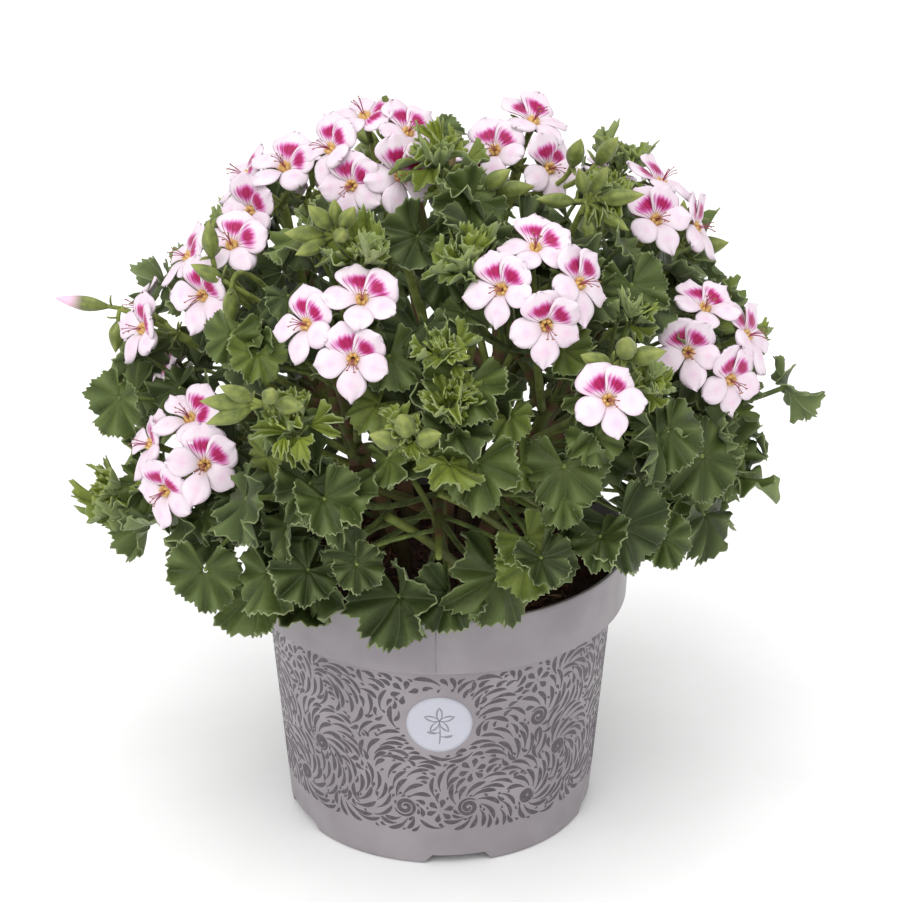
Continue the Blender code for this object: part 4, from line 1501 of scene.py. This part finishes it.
def waxyFilament():  # stamens: thin crimson threads with tan anthers
    material, tree, shader = startMaterial("waxyFilament", {"Roughness": 0.45, "Specular IOR Level": 0.4})
    _, along, _, _ = readChart(tree)
    fleck = noiseAt(tree, objectPlace(tree), 0.6 * mm, 2)
    bands = [(0.0, linear("#d8b06a")), (0.35, linear("#a84a6a"))]
    bands += [(0.85, linear("#83304f")), (1.0, linear("#9c6440"))]
    tint = addNode(tree, "ShaderNodeValToRGB", {"ramp": bands}, {0: along}).outputs[0]
    mottled = blendColour(tree, fade(tree, fleck, 0.5, 0.8, 0, 0.4), tint, linear("#6b1230"))
    tree.links.new(mottled, shader.inputs["Base Color"])
    return material


def budSkin():  # bud and calyx: ribbed soft green, yellow where it swells, flushed at the tips
    surface = {"Roughness": 0.5, "Specular IOR Level": 0.35, "Sheen Weight": 0.15, "Sheen Roughness": 0.5}
    material, tree, shader = startMaterial("ribbedCalyx", surface)
    rib, along, blush, _ = readChart(tree)
    place = objectPlace(tree)
    cloud = noiseAt(tree, place, 3 * mm, 2)
    hair = noiseAt(tree, place, 0.5 * mm, 2)
    base = blendColour(tree, fade(tree, cloud, 0.3, 0.7), linear("#626f30"), linear("#869146"))
    ribbed = blendColour(tree, calc(tree, "MULTIPLY", rib, 0.5), base, linear("#4c5a27"))
    tipped = blendColour(tree, fade(tree, along, 0.55, 1.0, 0, 0.55), ribbed, linear("#a2a75a"))
    pink = blendColour(tree, blush, tipped, linear("#efc3dc"))
    pale = blendColour(tree, fade(tree, hair, 0.55, 0.8, 0, 0.25), pink, linear("#b3ba80"))
    tree.links.new(pale, shader.inputs["Base Color"])
    tree.links.new(raised(tree, hair, 0.12 * mm, 0.6), shader.inputs["Normal"])
    return material


def flowerParts(row, rng):
    x, y, z, azimuth, elevation, roll, radius = row
    origin = Vector((x, y, z)) * mm
    place = facing(origin, direction(azimuth, elevation), direction(azimuth, elevation + 90), -roll)
    petals = []
    for number, (turn, long, wide, upper, tilt) in enumerate(petalPlan):
        size = radius * 0.95 * mm * rng.uniform(0.95, 1.05)
        blade = petalShape(size * long, size * wide, upper, turn == 182, rng.uniform(), rng)
        own = Matrix.Rotation(math.radians(-turn + rng.uniform(-5, 5)), 4, "Z")
        own = own @ Matrix.Rotation(math.radians(tilt + rng.uniform(-4, 4)), 4, "Y")
        own = own @ Matrix.Rotation(math.radians(rng.uniform(-10, 8)), 4, "X")
        own = own @ Matrix.Translation((0, 0, 0.25 * mm * (number % 3)))
        petals.append(placed(inSlot(blade, 0), place @ own))
    inner = []
    for k in range(5):  # stamens curve up out of the throat
        spoke = math.radians(k * 72 + rng.uniform(-15, 15))
        tip = Vector((1.6 * math.cos(spoke), 1.6 * math.sin(spoke) - 1.6, 4.2 + rng.uniform(-0.8, 0.8))) * mm
        path = bend(Vector((0, 0, -3.5 * mm)), Vector((tip.x * 0.1, tip.y * 0.2, tip.z * 0.6)), tip, 7)
        chart = np.stack([np.zeros(7), np.linspace(0.1, 0.85, 7), np.zeros(7)], 1)
        inner.append(tubeAlong([tuple(p) for p in path], 0.13 * mm, 5, chart))
        head = [tip - Vector((0.45 * mm, 0, 0)), tip, tip + Vector((0.45 * mm, 0, 0))]
        inner.append(tubeAlong([tuple(p) for p in head], [0.12 * mm, 0.26 * mm, 0.12 * mm], 6, (0, 1.0, 0)))
    for k in range(6):  # golden throat: short folds round the middle
        spoke = math.radians(k * 60)
        low = Vector((0.9 * math.cos(spoke), 0.9 * math.sin(spoke), -4.2)) * mm
        high = Vector((1.5 * math.cos(spoke), 1.5 * math.sin(spoke), -0.3)) * mm
        path = [tuple(low), tuple(low.lerp(high, 0.6)), tuple(high)]
        inner.append(tubeAlong(path, [0.9 * mm, 0.8 * mm, 0.3 * mm], 6))
    petals += [placed(inSlot(part, 1), place) for part in inner]
    green = []
    back = place @ Matrix.Translation((0, 0, -4.5 * mm))
    for k in range(5):
        turned = back @ Matrix.Rotation(math.radians(72 * k + 36), 4, "Z")
        green.append(placed(sepal(radius * 0.62 * mm, rng), turned))
    neck = back @ Vector((0, 0, 0.4 * mm))
    root = back @ Vector((0, 0, -6.5 * mm))
    path = [tuple(root), tuple(neck.lerp(root, 0.4)), tuple(neck)]
    green.append(tubeAlong(path, [1.0 * mm, 1.15 * mm, 1.5 * mm], 8))
    return petals, green, root


def sepal(length, rng):
    rows, columns = 7, 5
    v, u = np.meshgrid(np.linspace(0, 0.98, rows), np.linspace(-1, 1, columns), indexing="ij")
    half = 0.15 * length * np.sin(math.pi * (0.18 + 0.82 * v[:, :1])) ** 0.8
    x = u * np.maximum(half, 0.04 * mm)
    y = length * (0.10 + 0.85 * v)
    z = length * (0.30 * v - 0.10 * v**2 * rng.uniform(0.2, 2.4)) + np.abs(u) * 0.04 * length
    chart = np.stack([1 - np.abs(u), v, np.zeros_like(v)], -1)
    return inSlot(thickened(np.stack([x, y, z], -1), 0.45 * mm, chart, rng.uniform()), 0)


def makeFlowerHeads():
    petalMaterials = [petalSkin(), waxyFilament()]
    greenMaterials = [budSkin(), flowerStalk]
    for index, (row, start) in enumerate(zip(headRows, headStarts), 1):
        rng = np.random.default_rng(400 + index)
        hub = headHub(row)
        axis = direction(row[4], row[5])
        petals, green = [], []
        for flower in headFlowers(row):
            own, calyx, root = flowerParts(flower, rng)
            petals += own
            green += calyx
            path = bend(hub, hub.lerp(root, 0.5) + axis * 1.5 * mm, root, 7)
            green.append(inSlot(tubeAlong([tuple(p) for p in path], stems["pedicelRadius"], 7), 1))
        path = bend(start, start.lerp(hub, 0.6) - axis * 6 * mm, hub, 12)
        radii = np.linspace(1.1, 1.0, 12) * stems["peduncleRadius"]
        radii[-2:] *= 1.35  # the swelling that the side stalks leave from
        green.append(inSlot(tubeAlong([tuple(p) for p in path], radii, 9), 1))
        for k in range(7):  # small bracts under the swelling
            turn = Matrix.Rotation(math.radians(51.4 * k), 4, "Z")
            base = facing(hub - axis * 0.5 * mm, axis, Vector((0.02, 0.01, 1)))
            green.append(placed(sepal(5 * mm, rng), base @ turn))
        name = f"flower_head_{index}"
        buildPiece(f"{name}_petals", gathered(petals), petalMaterials, [name])
        buildPiece(f"{name}_stalks", gathered(green), greenMaterials)
    return greenMaterials


greenSkins = makeFlowerHeads()
print("flowers open")


# buds: ribbed pointed bodies on short stalks

budCut = {"length": 14 * mm, "radius": 3.0 * mm, "stalk": 1.1 * mm, "rings": 14, "sides": 20}


def budBody(length, radius, rng, blush=0.0):  # foot at the origin, tip along +Z
    rings, sides = budCut["rings"], budCut["sides"]
    v = np.linspace(0.0, 1, rings)
    angles = np.arange(sides) * 2 * math.pi / sides
    foot = 0.34 + 0.66 * np.sin(np.minimum(v / 0.40, 1) * math.pi / 2)
    tip = (1 - np.clip((v - 0.40) / 0.60, 0, 1) ** 1.7) ** 0.9
    swell = foot * tip
    swell = np.maximum(swell, 0.05)
    rib = np.abs(np.cos(angles * 2.5))  # five sepals folded together
    wave = 1 + 0.10 * (rib[None, :] - 0.5) * np.sin(math.pi * np.minimum(1, v[:, None] * 1.1))
    bow = rng.uniform(-0.06, 0.06)
    x = radius * swell[:, None] * wave * np.cos(angles) + bow * length * v[:, None] ** 2
    y = radius * swell[:, None] * wave * np.sin(angles)
    z = np.broadcast_to(v[:, None] * length, x.shape)
    ends = [(0, 0, -0.0001), (bow * length, 0, length * 1.02)]
    points = np.concatenate([np.stack([x, y, z], -1).reshape(-1, 3), ends])
    last = (rings - 1) * sides
    turn = np.arange(sides)
    after = np.roll(turn, -1)
    low = np.stack([after, turn, np.full(sides, len(points) - 2), np.full(sides, -1)], 1)
    high = np.stack([last + turn, last + after, np.full(sides, len(points) - 1), np.full(sides, -1)], 1)
    faces = np.concatenate([gridFaces(rings, sides, closedRound=True), low, high])
    flush = blush * np.clip((v - 0.45) * 4, 0, 1)
    along = np.broadcast_to(v[:, None], x.shape)
    chart = np.stack([np.broadcast_to(1 - rib, x.shape), along], -1).reshape(-1, 2)
    chart = np.concatenate([chart, np.repeat(flush, sides)[:, None]], 1)
    chart = np.concatenate([chart, [(0, 0, 0)], [(0, 1, blush)]])
    return shape(points, faces, 0, chart, rng.uniform())


def aimed(origin, aim):  # local +Z along aim
    return facing(origin, aim.normalized(), Vector((0.013, 0.007, 1)))


def makeBuds():
    for index, (row, start) in enumerate(zip(budRows, budStarts), 1):
        rng = np.random.default_rng(500 + index)
        azimuth, _, _, count, elevation = row
        hub = budHub(row)
        axis = direction(azimuth, elevation)
        parts = []
        for i in range(count):
            length = budCut["length"] * rng.uniform(0.85, 1.1)
            radius = budCut["radius"] * rng.uniform(0.9, 1.2)
            flush = 0
            tilt = 8 if i == 0 else 52
            ring = facing(Vector(), axis, Vector((0, 0, 1)), 360 * i / max(1, count - 1))
            side = ring.to_3x3() @ Vector((0, 1, 0))
            aim = axis * math.cos(math.radians(tilt)) + side * math.sin(math.radians(tilt))
            if index in budAims:
                flat, rise, long, wide, flush = budAims[index][i]
                aim = direction(flat, rise)
                length, radius = long * 0.88 * mm, wide * 0.84 * mm
            foot = hub + aim * 4.5 * mm
            parts.append(placed(budBody(length, radius, rng, flush), aimed(foot, aim)))
            path = bend(hub, hub.lerp(foot, 0.5) + axis * 0.8 * mm, foot + aim * 0.6 * mm, 6)
            parts.append(inSlot(tubeAlong([tuple(p) for p in path], 0.75 * mm, 7), 1))
            bract = aimed(foot - aim * 1.5 * mm, aim) @ Matrix.Rotation(math.radians(50 * i), 4, "Z")
            parts.append(placed(sepal(4.5 * mm, rng), bract))
        path = bend(start, start.lerp(hub, 0.6) - axis * 5 * mm, hub, 11)
        parts.append(inSlot(tubeAlong([tuple(p) for p in path], budCut["stalk"], 8), 1))
        buildPiece(f"bud_cluster_{index}_buds", gathered(parts), greenSkins, [f"bud_cluster_{index}"])


budAims = {  # azimuth, elevation, length and radius in mm and blush, for the clusters that face the front
    1: [
        (-70, 10, 14, 3.0, 0),
        (80, 12, 16, 3.2, 0),
        (70, -28, 13, 2.8, 0),
        (10, -60, 11, 2.8, 0),
        (-20, 62, 12, 2.6, 0),
        (60, 60, 12, 2.6, 0),
    ],
    2: [
        (-75, 8, 14, 3.3, 0),
        (-60, -14, 12, 3.0, 0),
        (-50, 48, 13, 3.2, 0),
        (30, 50, 13, 3.0, 0),
        (-10, 70, 11, 2.6, 0),
        (10, 20, 10, 2.8, 0),
    ],
    3: [
        (-84, 6, 17, 3.6, 0),
        (-78, -14, 16, 3.2, 0),
        (60, 10, 11, 3.4, 0),
        (-70, 30, 13, 3.0, 0),
        (20, 40, 10, 3.0, 0),
    ],
    5: [(-96, 6, 21, 3.0, 1), (-30, -72, 12, 3.3, 0)],
}
looseBuds = [  # x, y, z of the foot, azimuth, elevation, length, radius, blush
    (-71, -42, 216, -30, 82, 13, 2.7, 0.0),
    (-68, -44, 209, -90, 30, 11, 2.5, 0.0),
    (-65, -46, 207, -10, -80, 13, 2.6, 0.0),
    (42, -24, 240, 20, 62, 12, 2.8, 0.0),
    (50, -22, 240, 70, 55, 12, 2.8, 0.0),
    (56, -84, 200, 10, 48, 12, 3.2, 0.0),
    (58, -82, 198, 70, 20, 12, 3.0, 0.0),
    (52, -86, 197, -60, 30, 12, 3.0, 0.0),
    (56, -88, 194, 20, -50, 11, 2.8, 0.0),
    (-9, -102, 182, -20, 55, 11, 3.2, 0.0),
    (-6, -103, 180, 50, 30, 10, 3.0, 0.0),
    (-12, -102, 179, -70, 25, 10, 3.0, 0.0),
    (14, -40, 238, 60, 40, 12, 2.8, 0.0),
    (18, -38, 236, 90, 10, 12, 2.8, 0.0),
]


def makeLooseBuds():
    rng = np.random.default_rng(77)
    parts = []
    for x, y, z, azimuth, elevation, length, radius, blush in looseBuds:
        foot = Vector((x, y, z)) * mm
        aim = direction(azimuth, elevation)
        parts.append(placed(budBody(length * mm, radius * mm, rng, blush), aimed(foot, aim)))
        root = nearestWood(foot - aim * 8 * mm)
        path = bend(root, foot - aim * 0.4 * (foot - root).length, foot + aim * 0.6 * mm, 9)
        parts.append(inSlot(tubeAlong([tuple(p) for p in path], 0.85 * mm, 7), 1))
        for k in range(2):
            turn = Matrix.Rotation(math.radians(170 * k), 4, "Z")
            parts.append(placed(sepal(5.5 * mm, rng), aimed(foot, aim) @ turn))
    buildPiece("loose_buds", gathered(parts), greenSkins)


makeBuds()
makeLooseBuds()
print("buds set")
